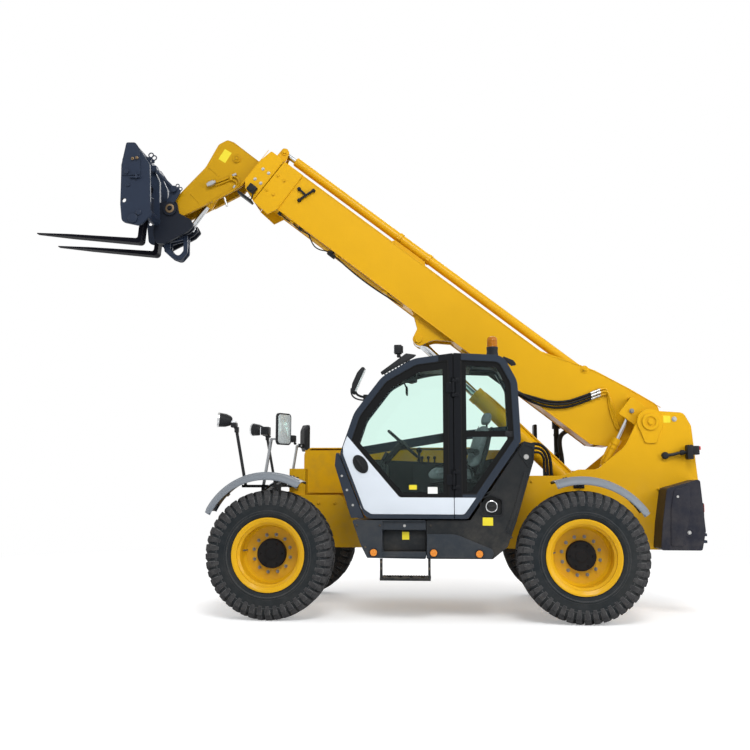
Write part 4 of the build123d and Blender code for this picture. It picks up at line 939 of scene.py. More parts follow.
# across the machine and above the arc; the rows run from the inner edge to the outer lip
FENDER_SKIN = [
    (0.8, -0.016), (0.8, -0.004), (0.806, 0.001), (0.84, 0.005), (0.92, 0.009), (1.0, 0.01), (1.09, 0.008),
    (1.135, 0.003), (1.163, -0.006), (1.181, -0.019), (1.191, -0.034), (1.1965, -0.054), (1.1965, -0.062),
]
FENDER_WALL = 0.005
FENDERS = {
    "front_fenders": (1.5, ((-0.307, 0.69), (0.127, 0.776), (0.632, 0.405)), -0.11, 1.0, 0.92),
    "rear_fenders": (-1.5, ((0.254, 0.697), (-0.129, 0.731), (-0.655, 0.348)), -0.08, 0.93, 0.68),
}
for node, (x, rows, bracket_x, skin_end, band_end) in FENDERS.items():
    arc = arc_through(*[(x + dx, AXLE_Z + dz) for dx, dz in rows])
    skins = bmesh.new()
    bands = bmesh.new()
    screws = []
    for side in (-1, 1):
        outer = [(side * y, rise) for y, rise in FENDER_SKIN]
        inner = [
            (side * (y - (FENDER_WALL if y > 1.14 else 0)), rise - FENDER_WALL)
            for y, rise in reversed(FENDER_SKIN)
        ]
        add_band(skins, arc, outer + inner, 0.0, skin_end)
        # a rolled rib along the crown's outer third, and a stiffened edge at both ends
        rib = [(side * y, rise) for y, rise in ((1.105, 0.004), (1.112, 0.0125), (1.124, 0.0125), (1.132, 0.0))]
        add_band(skins, arc, rib, 0.02, skin_end - 0.02)
        for low, high in ((0.0, 0.022), (skin_end - 0.022, skin_end)):
            add_band(skins, arc, [(side * y, rise + 0.0035) for y, rise in FENDER_SKIN] + inner, low, high, 4)
        band = [
            (side * y, rise)
            for y, rise in ((0.83, -0.026), (0.83, -0.014), (1.13, -0.014), (1.13, -0.026))
        ]
        add_band(bands, arc, band, 0.04, band_end)
        cross = [
            (side * y, rise)
            for y, rise in ((0.815, -0.036), (0.815, -0.02), (1.15, -0.022), (1.15, -0.036))
        ]
        for share in (0.25, 0.55, 0.85):
            add_band(bands, arc, cross, share * band_end, share * band_end + 0.03, 3)
        place = x + bracket_x
        # the arm, the foot under the band, and the pad on the frame's side
        for half, y_low, y_high, z_low, z_high, edge in (
            (0.022, 0.43, 0.87, 1.3, 1.336, 0.004), (0.03, 0.8, 0.845, 1.3, 1.372, 0.006),
            (0.055, 0.43, 0.445, 1.262, 1.372, 0.003),
        ):
            add_block(
                bands, (place - half, side * y_low, z_low), (place + half, side * y_high, z_high), edge=edge,
            )
        pad_screws = [(place + dx, z) for dx in (-0.038, 0.038) for z in (1.28, 1.354)]
        screws += side_rows(pad_screws, 0.4455, 0.016, (side,))
        for share in (0.12, 0.5, 0.88):
            angle = arc[2] + (arc[3] - arc[2]) * share
            way = Vector((math.cos(angle), 0, math.sin(angle)))
            for y, rise in ((0.87, 0.0065), (1.05, 0.0088)):
                spot = Vector((arc[0][0], side * y, arc[0][1])) + way * (arc[1] + rise)
                screws.append((spot, way, 0.018))
    cover = finished(node + "_skins", skins, fender_grey, smooth=50)
    under = finished(node + "_bands", bands, black_plastic)
    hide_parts(node)
    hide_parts(node)
    bolts(node + "_screws", screws, chassis_black)

# ---------------------------------------------------------------- lamp posts, lamps and mirrors
# Two bent tubes stand on each front fender's foot: a black one for the head lamp, and a
# silver one for the work lamp and the mirror. Housings are moulded, lenses are clear.
post_tube = Finish("lamp post tubes", (0.02, 0.021, 0.023), 0.4)
silver_side = 1 - post_tube.along("X").above(MIDDLE + 1.66, MIDDLE + 1.67)
raised_part = post_tube.along("Z").above(1.292, 1.294)
scratch = post_tube.noise(35.0, 6.0, 0.7)
tone = post_tube.blend(silver_side * raised_part, (0.02, 0.021, 0.023), (0.3, 0.31, 0.32))
post_tube.set("Base Color", post_tube.blend(scratch.above(0.6, 0.8) * 0.4, tone, (0.1, 0.1, 0.1)))
post_tube.set("Metallic", silver_side * raised_part * 0.6)
post_tube.set("Roughness", 0.34 + scratch * 0.2)
dress(post_tube.material, "lamp_posts")
clear_lens = plain("clear lens", (0.78, 0.8, 0.82), 0.08, (180.0, 1.0, 0.25, 0.002), Coat_Weight=1.0)
bright_trim = plain("bright trim", (0.58, 0.59, 0.6), (0.1, 0.12, 30.0), Metallic=1.0)
mirror_glass = plain("mirror glass", (0.62, 0.66, 0.66), (0.03, 0.1, 8.0, 5.0), Metallic=0.35)
POST_Y = 0.77
MIRROR_X = {1: 1.412, -1: 1.468}
MIRROR_TOE = math.radians(32)
LAMP_TOE = 0.28
bodies = bmesh.new()
lenses = bmesh.new()
bezels = bmesh.new()
brackets = bmesh.new()
glasses = bmesh.new()
for side in (-1, 1):
    y = side * POST_Y
    bowl = (1.978, y, 1.943)
    lamp_aim = (1, side * LAMP_TOE, 0.08)
    add_turned(bodies, bowl, lamp_aim, [
        (0, 0.0), (0, 0.03), (0.016, 0.05), (0.065, 0.068), (0.125, 0.073), (0.14, 0.074), (0.14, 0.066),
        (0.12, 0.06), (0.12, 0.0),
    ], 40)
    bezel = [(0.132, 0.0735), (0.132, 0.078), (0.15, 0.078), (0.153, 0.07), (0.146, 0.066)]
    add_turned(bezels, bowl, lamp_aim, bezel, 40, hollow=True)
    lens = [(0.118, 0.0), (0.118, 0.062), (0.14, 0.067), (0.152, 0.05), (0.156, 0.025), (0.157, 0.0)]
    add_turned(lenses, bowl, lamp_aim, lens, 40)
    for shape, half, x_low, x_high, z_low, z_high, edge in (
        (bodies, 0.052, 1.928, 1.985, 1.872, 1.925, 0.014), (brackets, 0.028, 1.91, 1.948, 1.822, 1.88, 0.005),
        (lenses, 0.048, 1.932, 1.98, 1.92, 1.944, 0.01), (bodies, 0.056, 1.583, 1.668, 1.796, 1.88, 0.012),
        (lenses, 0.047, 1.664, 1.675, 1.795, 1.876, 0.006),
    ):
        add_block(shape, (x_low, y - half, z_low), (x_high, y + half, z_high), edge=edge)
    add_slats(brackets, 6, (0.011, 0, 0), (1.585, y - 0.058, 1.8), (1.59, y + 0.058, 1.878), edge=0.0015)
    add_rod(brackets, (1.932, y - 0.03, 1.868), (0, 1, 0), 0.02, 0.06, 20)
    add_rod(brackets, (1.59, y - 0.022, 1.782), (0, 1, 0), 0.015, 0.044, 16)
    clamp_x = MIRROR_X[side] + 0.048
    add_rod(brackets, (clamp_x + 0.018, y, 1.735), (0, 0, 1), 0.018, 0.045, 16)
    add_rod(brackets, (clamp_x, side * (POST_Y + 0.06), 1.73), (0, 0, 1), 0.02, 0.05, 16)
    middle = Matrix.Translation((MIRROR_X[side], side * (POST_Y + 0.112), 1.85))
    turn = middle @ Matrix.Rotation(math.radians(90) - side * MIRROR_TOE, 4, "Z")
    pane = rounded(
        [(x, z, 0.034) for x, z in ((-0.09, -0.146), (0.09, -0.146), (0.09, 0.146), (-0.09, 0.146))], 6,
    )
    add_plate(glasses, pane, 0.0005, 0.003, turn, edge=0.001)
housings = finished("lamp_housings", bodies, black_plastic)
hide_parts("front_lamps")
finished("lamp_bezels", bezels, bright_trim)
finished("lamp_lenses", lenses, clear_lens)
finished("lamp_brackets", brackets, black_plastic)
finished("mirror_glasses", glasses, mirror_glass)
dress(black_plastic, "mirrors")

# ---------------------------------------------------------------- cab shell and door
# A welded tube frame under dark moulded panels. The door carries one large pane with a
# black printed border above a pale lower skin, which a hairline joint splits at the hinge.
CAB_DARK = (0.024, 0.032, 0.046)


def hinge_post(finish):
    """1 on the post between the door's pane and the quarter window."""
    place = finish.along("X") - MIDDLE
    between = place.above(-0.374, -0.372) * (1 - place.above(-0.152, -0.15))
    return between * finish.along("Z").above(1.174, 1.176)


cab_dark = moulded("cab dark paint", CAB_DARK, 0.33, grain=0.4, dust=0.15, black_where=hinge_post)
dress(cab_dark, "cab_frame", "cab_door")
# x, z and corner radius of the cab's side
CAB_SIDE = [
    (-0.423, 0.97, 0.04), (0.56, 0.97, 0.09), (0.812, 1.588, 0.06), (0.674, 1.99, 0.3), (0.4, 2.345, 0.3),
    (0.09, 2.52, 0.26), (-0.3, 2.572, 0.2), (-0.78, 2.545, 0.15), (-0.912, 2.29, 0.2), (-0.937, 1.71, 0.06),
]


def drawn_in(rows, amount):
    """An outline's (x, z, radius) rows with every edge moved inwards."""
    moved = []
    for index, (x, z, radius) in enumerate(rows):
        here = Vector((x, z))
        before = (here - Vector(rows[index - 1][:2])).normalized()
        after = (Vector(rows[(index + 1) % len(rows)][:2]) - here).normalized()
        inward = Vector((-before.y, before.x)) + Vector((-after.y, after.x))
        spot = here + inward * (amount / (1 + before.dot(after)))
        moved.append((spot.x, spot.y, max(radius - amount, 0.02)))
    return moved


def trimmed(outline, edge_start, edge_end):
    """The part of an outline on the left of a line."""
    start = Vector(edge_start)
    across = Vector(edge_end) - start
    normal = Vector((-across.y, across.x)).normalized()
    kept = []
    for index, spot in enumerate(outline):
        before = Vector(outline[index - 1])
        here = Vector(spot)
        height, height_before = (here - start).dot(normal), (before - start).dot(normal)
        if height * height_before < 0:
            kept.append(tuple(before.lerp(here, height_before / (height_before - height))))
        if height >= 0:
            kept.append(spot)
    return kept


def add_border(shape, outlines, y_one, y_other):
    """Adds a flat border: the first outline with the others left open."""
    y_low, y_high = sorted((y_one, y_other))
    part = bmesh.new()
    edges = []
    for outline in outlines:
        verts = [part.verts.new((x, y_low, z)) for x, z in outline]
        edges += [part.edges.new((verts[index - 1], verts[index])) for index in range(len(verts))]
    bmesh.ops.triangle_fill(part, use_beauty=True, edges=edges)
    grown_out = bmesh.ops.extrude_face_region(part, geom=part.faces[:])
    top = [item for item in grown_out["geom"] if isinstance(item, bmesh.types.BMVert)]
    bmesh.ops.translate(part, vec=(0, y_high - y_low, 0), verts=top)
    bmesh.ops.recalc_face_normals(part, faces=part.faces)
    merge(shape, part)


def door_pane(amount, hinge_side, below):
    """The door window's outline: in from the frame, from the hinge post and from the pale skin."""
    outline = rounded(drawn_in(CAB_SIDE, amount), 6)
    outline = trimmed(outline, (hinge_side, 3.0), (hinge_side, 0.0))
    outline = trimmed(outline, (0.0, 1.17 + below), (1.0, 1.17 + below))
    lift = Vector((-0.757, 0.653)) * below
    return trimmed(outline, (0.23 + lift.x, 1.17 + lift.y), (0.7 + lift.x, 1.715 + lift.y))


def quarter_pane(amount, hinge_side, low, high):
    """The quarter window's outline: behind the hinge post and between two heights."""
    outline = rounded(drawn_in(CAB_SIDE, amount), 6)
    outline = trimmed(outline, (hinge_side, 0.0), (hinge_side, 3.0))
    outline = trimmed(outline, (0.0, low), (1.0, low))
    return trimmed(outline, (1.0, high), (0.0, high))


printed_black = plain("printed black border", (0.004, 0.0045, 0.005), (0.1, 0.1, 6.0, 5.0), Coat_Weight=0.1)
seal_rubber = plain("seal rubber", (0.012, 0.012, 0.012), 0.7, (500.0, 4.0, 0.15, 0.001))
lights = [quarter_pane(0.118, -0.418, 1.236, 1.752), quarter_pane(0.118, -0.418, 1.808, 2.48)]
# name, outlines, the y of both faces, material, body
GLASS_EDGES = [
    ("door_printed_border", [door_pane(0.06, -0.252, -0.002), door_pane(0.142, -0.192, 0.05)],
     1.1322, 1.1338, printed_black, "door"),
    ("door_glass_seal", [door_pane(0.054, -0.258, -0.008), door_pane(0.07, -0.24, 0.01)],
     1.1338, 1.1472, seal_rubber, "door"),
    ("quarter_printed_border", [quarter_pane(0.063, -0.363, 1.198, 2.7), *lights],
     1.1302, 1.1318, printed_black, "chassis"),
    ("quarter_glass_seal", [quarter_pane(0.058, -0.357, 1.192, 2.7), quarter_pane(0.072, -0.376, 1.212, 2.7)],
     1.1318, 1.1472, seal_rubber, "chassis"),
]
for name, outlines, y_low, y_high, material, body in GLASS_EDGES:
    border = bmesh.new()
    add_border(border, outlines, y_low, y_high)
    finished(name, border, material, body)

pale_skin = sprayed("pale door skin", (0.64, 0.69, 0.75), 0.26, coat=0.2)
# name, body, outline
PALE_SKINS = [
    ("door_lower_skin", "door", [
        (-0.2905, 1.012, 0.002), (0.505, 1.013, 0.06), (0.572, 1.06, 0.05), (0.779, 1.588, 0.04),
        (0.78, 1.656, 0.04), (0.741, 1.763, 0.004), (0.23, 1.172, 0.05), (-0.2905, 1.171, 0.002),
    ]),
    ("quarter_lower_skin", "chassis", [
        (-0.388, 1.012, 0.04), (-0.2965, 1.012, 0.002), (-0.2965, 1.171, 0.002), (-0.503, 1.171, 0.004),
    ]),
]
for name, body, outline in PALE_SKINS:
    skin = bmesh.new()
    add_plate(skin, rounded(outline), 1.1485, 1.155, edge=0.002)
    finished(name, skin, pale_skin, body)

HANDLE = (0.608, 1.49)
HANDLE_LEAN = math.atan2(0.173, 0.116)


def oval(long_half, short_half, steps=40):
    """An oval outline about the handle's middle, along its lean."""
    outline = []
    for step in range(steps):
        angle = 2 * math.pi * step / steps
        spot = Vector((long_half * math.cos(angle), short_half * math.sin(angle)))
        outline.append(tuple(Vector(HANDLE) + Matrix.Rotation(HANDLE_LEAN, 2) @ spot))
    return outline


handle = bmesh.new()
add_plate(handle, oval(0.098, 0.064), 1.1545, 1.1575, edge=0.001)
add_border(handle, [oval(0.096, 0.062), oval(0.084, 0.05)], 1.1575, 1.1625)
way = Vector((math.cos(HANDLE_LEAN), 0, math.sin(HANDLE_LEAN)))
start = Vector((HANDLE[0], 1.16, HANDLE[1])) - way * 0.066
grip = [
    start + way * along + Vector((0, out, 0))
    for along, out in ((0, 0), (0.03, 0.014), (0.09, 0.015), (0.132, 0))
]
add_pipe(handle, grip, 0.011)
add_turned(handle, start + way * 0.148, (0, 1, 0), [
    (-0.004, 0.0), (-0.004, 0.01), (0.004, 0.01), (0.005, 0.0),
], 20)
finished("door_handle", handle, black_plastic, "door")
notices(
    "door_blank_yellow_plate", plate_yellow, "door", [rectangle(0.064, 1.247, 0.139, 1.291, 0.004)], 1.1342,
    1.1352,
)
notices(
    "door_blank_white_plate", plate_white, "door", [rectangle(-0.135, 1.208, -0.041, 1.272, 0.004)], 1.1342,
    1.1352,
)

# the quarter window's latch, and round buttons that hold the front edge trim
latch = bmesh.new()
add_turned(latch, (-0.812, 1.1315, 1.779), (0, 1, 0), [
    (0, 0.0), (0, 0.03), (0.012, 0.028), (0.016, 0.018), (0.017, 0.0),
], 28)
add_block(latch, (-0.882, 1.1318, 1.752), (-0.79, 1.14, 1.806), edge=0.006)
finished("quarter_latch", latch, black_plastic)
edge_trim = bmesh.new()
trim_outline = rounded([
    (0.574, 0.975, 0.004), (0.7, 0.975, 0.02), (0.862, 1.48, 0.05), (0.85, 1.6, 0.03), (0.826, 1.6, 0.004),
])
add_plate(edge_trim, trim_outline, 1.06, 1.14, edge=0.006)
finished("cab_front_edge_trim", edge_trim, cab_dark)
trim_spots = ((0.79, 1.377), (0.74, 1.241), (0.682, 1.097))
bolts("cab_front_trim_screws", side_rows(trim_spots, 1.1415, 0.016, (1,)), zinc)

# ---------------------------------------------------------------- glass
# Tempered green-tinted panes, bonded or clamped in rubber.
GLASS_TINT = (0.915, 0.985, 0.96, 1.0)
tinted = Finish("tinted glass", GLASS_TINT[:3], 0.03)
smear = tinted.noise(5.0, 6.0).above(0.5, 0.9)
see_through = tinted.node("BsdfTransparent", Color=GLASS_TINT)
gloss = tinted.node("BsdfGlossy", Color=(0.8, 0.9, 0.92, 1.0), Roughness=0.02 + smear * 0.1)
facing_share = Number(tinted.tree, tinted.node("Fresnel", IOR=1.45).outputs[0])
pane_mix = mixed(tinted.tree, facing_share * 0.35, see_through.outputs[0], gloss.outputs[0])
tinted.plug(pane_mix, tinted.tree.nodes["Material Output"].inputs["Surface"])
tinted = tinted.material
dress(tinted, "cab_windows", "door_glass")

# ---------------------------------------------------------------- cab roof and front fittings
# A guard of round bars stands over the upper windscreen. A work lamp and a convex mirror
# sit on the front pillar, and the wiper parks low across the screen.
guard = bmesh.new()
GUARD_LOW, GUARD_HIGH = (0.392, 2.405), (0.15, 2.567)
GUARD_RUN = Vector((GUARD_HIGH[0] - GUARD_LOW[0], 0, GUARD_HIGH[1] - GUARD_LOW[1]))
cheek = rounded([
    (0.41, 2.375, 0.01), (0.425, 2.405, 0.01), (0.17, 2.592, 0.02), (0.06, 2.575, 0.01), (0.1, 2.545, 0.01),
])
for y in (0.44, 1.02):
    add_plate(guard, cheek, y - 0.008, y + 0.008)
for step in range(9):
    spot = Vector((GUARD_LOW[0], 0.44, GUARD_LOW[1])) + GUARD_RUN * (step / 8)
    add_turned(guard, spot, (0, 1, 0), [(0, 0.008), (0.58, 0.008)], 12)
for y in (0.62, 0.84):
    add_turned(guard, (GUARD_LOW[0], y, GUARD_LOW[1] + 0.012), GUARD_RUN, [(0, 0.006), (0.29, 0.006)], 10)
finished("roof_guard", guard, chassis_black)
roof_lamp = bmesh.new()
add_block(roof_lamp, (0.212, 0.955, 2.59), (0.288, 1.045, 2.678), edge=0.01)
add_slats(roof_lamp, 5, (0, 0, 0.014), (0.2, 0.962, 2.603), (0.214, 1.038, 2.609), edge=0.001)
add_block(roof_lamp, (0.225, 0.975, 2.555), (0.262, 1.025, 2.6), edge=0.005)
add_pipe(roof_lamp, [(0.245, 1.0, 2.565), (0.2, 1.0, 2.55), (0.17, 1.0, 2.52), (0.16, 1.0, 2.49)], 0.009)
finished("roof_lamp", roof_lamp, black_plastic)
lens = bmesh.new()
add_block(lens, (0.284, 0.963, 2.598), (0.293, 1.037, 2.67), edge=0.004)
finished("roof_lamp_lens", lens, clear_lens)

pillar_mirror = bmesh.new()
mirror_axis = Vector((-0.107, 0, 0.24)).normalized()
mirror_lean = math.atan2(-mirror_axis.x, mirror_axis.z)
mirror_place = Matrix.Translation((0.636, 1.125, 2.316)) @ Matrix.Rotation(-mirror_lean, 4, "Y")
outline = rounded([
    (-0.022, -0.132, 0.02), (0.012, -0.132, 0.02), (0.034, -0.06, 0.08), (0.034, 0.06, 0.08),
    (0.012, 0.132, 0.02), (-0.022, 0.132, 0.02),
])
add_plate(pillar_mirror, outline, -0.066, 0.066, mirror_place, edge=0.012)
add_pipe(pillar_mirror, [
    (0.56, 1.08, 2.148), (0.61, 1.1, 2.15), (0.668, 1.12, 2.185), (0.672, 1.125, 2.24),
], 0.012)
add_pipe(pillar_mirror, [
    (0.575, 1.08, 2.12), (0.64, 1.1, 2.118), (0.715, 1.12, 2.17), (0.704, 1.125, 2.235),
], 0.008)
add_rod(pillar_mirror, (0.676, 1.095, 2.196), (0, 1, 0), 0.024, 0.055, 20)
add_block(pillar_mirror, (0.545, 1.045, 2.095), (0.59, 1.098, 2.175), edge=0.006)
finished("pillar_mirror", pillar_mirror, black_plastic)
pane = bmesh.new()
add_plate(pane, rectangle(-0.0255, -0.118, -0.0215, 0.118, 0.0), -0.055, 0.055, mirror_place, edge=0.001)
finished("pillar_mirror_glass", pane, mirror_glass)

wiper = bmesh.new()
add_pipe(wiper, [(0.745, 0.6, 1.455), (0.8, 0.6, 1.6), (0.765, 0.72, 1.8), (0.735, 0.8, 1.92)], 0.008)
add_pipe(wiper, [(0.8, 0.62, 1.62), (0.772, 0.7, 1.78), (0.722, 0.8, 1.93), (0.662, 0.86, 2.06)], 0.006)
finished("windscreen_wiper", wiper, black_plastic)

dress(moulded("beacon socket", (0.018, 0.019, 0.021), 0.45), "beacon")
amber = Finish("amber lens", (0.36, 0.12, 0.003), 0.15, Coat_Weight=0.2)
amber.set("Emission Color", (1.0, 0.3, 0.0, 1.0))
amber.set("Emission Strength", 0.04)
amber.bump(amber.noise(90.0, 1.0), 0.2, 0.002)
amber = amber.material
dome = bmesh.new()
profile = [(2.662, 0.054)]
for step in range(5):
    profile += [(2.668 + step * 0.015, 0.0525), (2.675 + step * 0.015, 0.0495)]
profile += [(2.744, 0.05), (2.756, 0.046), (2.765, 0.036), (2.771, 0.02), (2.773, 0.0)]
add_turned(dome, (-0.69, 0.9, 0.0), (0, 0, 1), [(2.66, 0.0)] + profile, 40)
finished("beacon_dome", dome, amber)
foot = bmesh.new()
add_turned(foot, (-0.69, 0.9, 2.545), (0, 0, 1), [
    (0, 0.0), (0, 0.075), (0.02, 0.072), (0.028, 0.06), (0.06, 0.058), (0.06, 0.0),
], 32)
add_turned(foot, (-0.69, 0.9, 2.64), (0, 0, 1), [(0, 0.057), (0.02, 0.058), (0.024, 0.056)], 40)
add_plate(foot, rounded([
    (-0.93, 2.485, 0.01), (-0.88, 2.475, 0.01), (-0.79, 2.552, 0.02), (-0.8, 2.572, 0.01), (-0.9, 2.53, 0.02),
]), 0.86, 0.9)
finished("beacon_foot", foot, black_plastic)

# ---------------------------------------------------------------- skirts, tank and step
# Moulded side skirts under the cab carry round amber reflectors. The tank behind them has
# a recessed filler, and a tube step hangs on two straps below the entry recess.
skirt_dark = moulded("side skirt", (0.03, 0.036, 0.044), 0.4, dust=0.25)
tank_black = moulded("tank moulding", (0.016, 0.018, 0.02), 0.42, dust=0.35)
dress(skirt_dark, "side_skirts")
dress(tank_black, "fuel_tank", "cab_step")
SKIRT_Y = 1.14
TANK_Y = 1.12
lower_skin = bmesh.new()
outline = rounded([
    (-0.03, 0.6, 0.01), (-0.03, 0.824, 0.01), (-0.3, 0.826, 0.25), (-0.652, 0.686, 0.04), (-0.662, 0.64, 0.02),
    (-0.64, 0.6, 0.02),
])
add_plate(lower_skin, outline, TANK_Y - 0.003, TANK_Y + 0.01, edge=0.005)
finished("tank_lower_skirt", lower_skin, skirt_dark)
recess = bmesh.new()
add_plate(recess, rectangle(-0.02, 0.662, 0.392, 0.856, 0.02), 1.059, 1.064)
finished("entry_recess_panel", recess, tank_black)
tread = bmesh.new()
add_slats(tread, 14, (0.0285, 0, 0), (-0.01, 1.066, 0.656), (0.002, 1.122, 0.6605), edge=0.0015)
for y_low, y_high in ((1.122, 1.147), (0.903, 0.922)):
    add_slats(tread, 17, (0.0258, 0, 0), (-0.03, y_low, 0.411), (-0.02, y_high, 0.4165), edge=0.0015)
finished("step_treads", tread, chassis_black)
step_spots = [(x, z) for x in (-0.052, 0.408) for z in (0.5, 0.56)]
bolts("step_bolts", side_rows(step_spots, 1.1335, 0.018, (1,)), chassis_black)
notice = bmesh.new()
add_plate(notice, rectangle(0.142, 0.768, 0.21, 0.842, 0.004), 1.0635, 1.0662, edge=0)
add_plate(notice, rectangle(-0.66, 0.908, -0.562, 0.984, 0.004), TANK_Y - 0.001, TANK_Y + 0.0015, edge=0)
finished("entry_blank_plates", notice, plate_yellow)
skirt_rows = side_rows([(0.64, 0.905), (0.56, 0.7), (0.42, 0.905)], SKIRT_Y, 0.016, (1,))
skirt_rows += side_rows([(-0.068, 0.905), (-0.83, 0.8)], TANK_Y, 0.016, (1,))
bolts("skirt_screws", skirt_rows, chassis_black)
bright_rows = side_rows([(-0.985, 1.56)], TANK_Y, 0.034, (1,))
bright_rows += side_rows([(0.184, 0.902)], 1.1195, 0.018, (1,))
bolts("skirt_bright_bolts", bright_rows, zinc)

amber_reflector = Finish("amber reflector", (0.86, 0.3, 0.02), 0.18, Coat_Weight=0.8)
cells = amber_reflector.node("TexVoronoi", {"feature": "F1"}, Vector=amber_reflector.place(), Scale=240.0)
facet = Number(amber_reflector.tree, cells.outputs["Distance"])
tone = amber_reflector.blend(facet.above(0.1, 0.6), (0.98, 0.42, 0.03), (0.62, 0.17, 0.01))
amber_reflector.set("Base Color", tone)
amber_reflector.bump(facet, 0.4, 0.001)
amber_reflector = amber_reflector.material
cups = bmesh.new()
discs = bmesh.new()
reflector_spots = [(0.48, SKIRT_Y, 0.649), (-0.094, TANK_Y + 0.01, 0.649), (-0.528, TANK_Y + 0.01, 0.642)]
cup = [(-0.002, 0.0), (-0.002, 0.044), (0.006, 0.043), (0.008, 0.036), (0.004, 0.035), (0.004, 0.0)]
disc = [(0.003, 0.0), (0.003, 0.034), (0.01, 0.033), (0.012, 0.024), (0.01, 0.016), (0.012, 0.0)]
add_knobs(cups, reflector_spots, cup, 36, sides=(1,))
add_knobs(discs, reflector_spots, disc, 36, sides=(1,))
finished("reflector_cups", cups, black_plastic)
finished("amber_reflectors", discs, amber_reflector)

filler = bmesh.new()
pocket = rounded([
    (-0.748, 1.005, 0.028), (-0.552, 1.005, 0.028), (-0.552, 1.158, 0.028), (-0.645, 1.196, 0.028),
    (-0.748, 1.15, 0.028),
])


def scaled(outline, centre, factor):
    """An outline drawn larger or smaller about a centre."""
    return [(centre[0] + (x - centre[0]) * factor, centre[1] + (z - centre[1]) * factor) for x, z in outline]


add_border(filler, [scaled(pocket, (-0.65, 1.1), 1.12), pocket], TANK_Y - 0.002, TANK_Y + 0.006)
finished("filler_pocket_rim", filler, black_plastic)
collar = bmesh.new()
ring = [(0, 0.049), (0, 0.06), (0.01, 0.06), (0.014, 0.054), (0.014, 0.049)]
add_turned(collar, (-0.651, TANK_Y - 0.043, 1.087), (0, 1, 0), ring, 36, hollow=True)
finished("filler_collar", collar, bright_trim)
# ribs that stiffen the tank moulding, and the hose cover behind the cab
ribs = bmesh.new()
outline = rounded([
    (-1.05, 1.5, 0.02), (-1.062, 1.665, 0.03), (-0.968, 1.694, 0.03), (-0.905, 1.605, 0.04),
    (-1.01, 1.45, 0.03),
])
add_border(ribs, [outline, scaled(outline, (-0.995, 1.585), 0.82)], TANK_Y - 0.002, TANK_Y + 0.008)
outline = rounded([
    (-0.99, 1.4, 0.03), (-0.88, 1.02, 0.05), (-0.8, 0.83, 0.03), (-0.775, 0.85, 0.02), (-0.85, 1.04, 0.05),
    (-0.96, 1.42, 0.02),
])
add_plate(ribs, outline, TANK_Y - 0.002, TANK_Y + 0.007, edge=0.004)
add_plate(ribs, rounded([
    (-0.69, 1.26, 0.01), (-0.56, 1.2, 0.01), (-0.563, 1.19, 0.004), (-0.695, 1.248, 0.01),
]), TANK_Y - 0.002, TANK_Y + 0.006)
finished("tank_ribs", ribs, tank_black)

# ---------------------------------------------------------------- engine side
# A one-piece sheet-metal hood hinged along the boom well, with punched air slots backed by
# mesh, over an iron engine with its filters, pulleys and hoses in a folded tray.
hood_yellow = sprayed("hood yellow", YELLOW, 0.32, dust=0.3, coat=0.15)
dress(hood_yellow, "engine_hood")
bay_finish = Finish("engine bay", YELLOW, 0.38)
well_side = bay_finish.along("Y").above(-0.326, -0.322)
grime = bay_finish.noise(7.0, 6.0, 0.7).above(0.4, 0.75)
tone = bay_finish.blend(well_side, (0.02, 0.021, 0.023), YELLOW)
bay_finish.set("Base Color", bay_finish.blend(grime * 0.25, tone, (0.1, 0.085, 0.06)))
bay_finish.set("Roughness", 0.36 + grime * 0.2)
dress(bay_finish.material, "engine_bay")
well = bmesh.new()
add_block(well, (0.7, -0.348, 1.06), (1.4, -0.34, 1.255), edge=0.002)
for z in (1.3, 1.42, 1.56):
    add_block(well, (0.96, -0.3215, z), (1.355, -0.3185, z + 0.006), edge=0.001)
add_block(well, (1.08, -0.322, 1.25), (1.086, -0.3185, 1.64), edge=0.001)
finished("boom_well_seams", well, frame_yellow)
HOOD_OUTER_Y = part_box("engine_hood")[0][1]
SLOT_STARTS = (-0.56, 0.06)
screens = bmesh.new()
for start in SLOT_STARTS:
    add_block(
        screens, (start - 0.02, HOOD_OUTER_Y + 0.0135, 1.13), (start + 0.44, HOOD_OUTER_Y + 0.0165, 1.53),
        edge=0.001,
    )
add_block(screens, (0.28, -0.93, 1.6955), (0.58, -0.47, 1.6985), edge=0.001)
mesh_black = Finish("mesh screen", (0.012, 0.012, 0.012), 0.5, Metallic=0.6)
weave = mesh_black.node("TexBrick", {"offset": 0.0}, Vector=mesh_black.place(), Scale=60.0, Mortar_Size=0.012)
holes = Number(mesh_black.tree, weave.outputs["Fac"])
mesh_black.set("Base Color", mesh_black.blend(holes, (0.004, 0.004, 0.004), (0.05, 0.05, 0.05)))
mesh_black = mesh_black.material
finished("hood_slot_screens", screens, mesh_black, "hood")
hood_parts = bmesh.new()
for x in (-0.7, 0.6):
    add_turned(hood_parts, (x, HOOD_OUTER_Y + 0.001, 1.085), (0, -1, 0), [
        (0, 0.0), (0, 0.03), (0.006, 0.028), (0.009, 0.012), (0.009, 0.0),
    ], 24)
    add_block(
        hood_parts, (x - 0.024, HOOD_OUTER_Y - 0.012, 1.079), (x + 0.024, HOOD_OUTER_Y - 0.004, 1.091),
        edge=0.002,
    )
add_pipe(hood_parts, [
    (-0.1, HOOD_OUTER_Y + 0.002, 1.6), (-0.1, HOOD_OUTER_Y - 0.026, 1.598), (0.06, HOOD_OUTER_Y - 0.026, 1.598),
    (0.06, HOOD_OUTER_Y + 0.002, 1.6),
], 0.008)
finished("hood_latches_and_handle", hood_parts, black_plastic, "hood")
hood_edges = bmesh.new()
add_block(hood_edges, (-0.841, HOOD_OUTER_Y + 0.0125, 0.996), (0.734, HOOD_OUTER_Y + 0.024, 1.02))
for start in SLOT_STARTS:
    for x in (start - 0.05, start + 0.45):
        add_block(
            hood_edges, (x, HOOD_OUTER_Y - 0.004, 1.105), (x + 0.02, HOOD_OUTER_Y + 0.002, 1.555), edge=0.0025,
        )
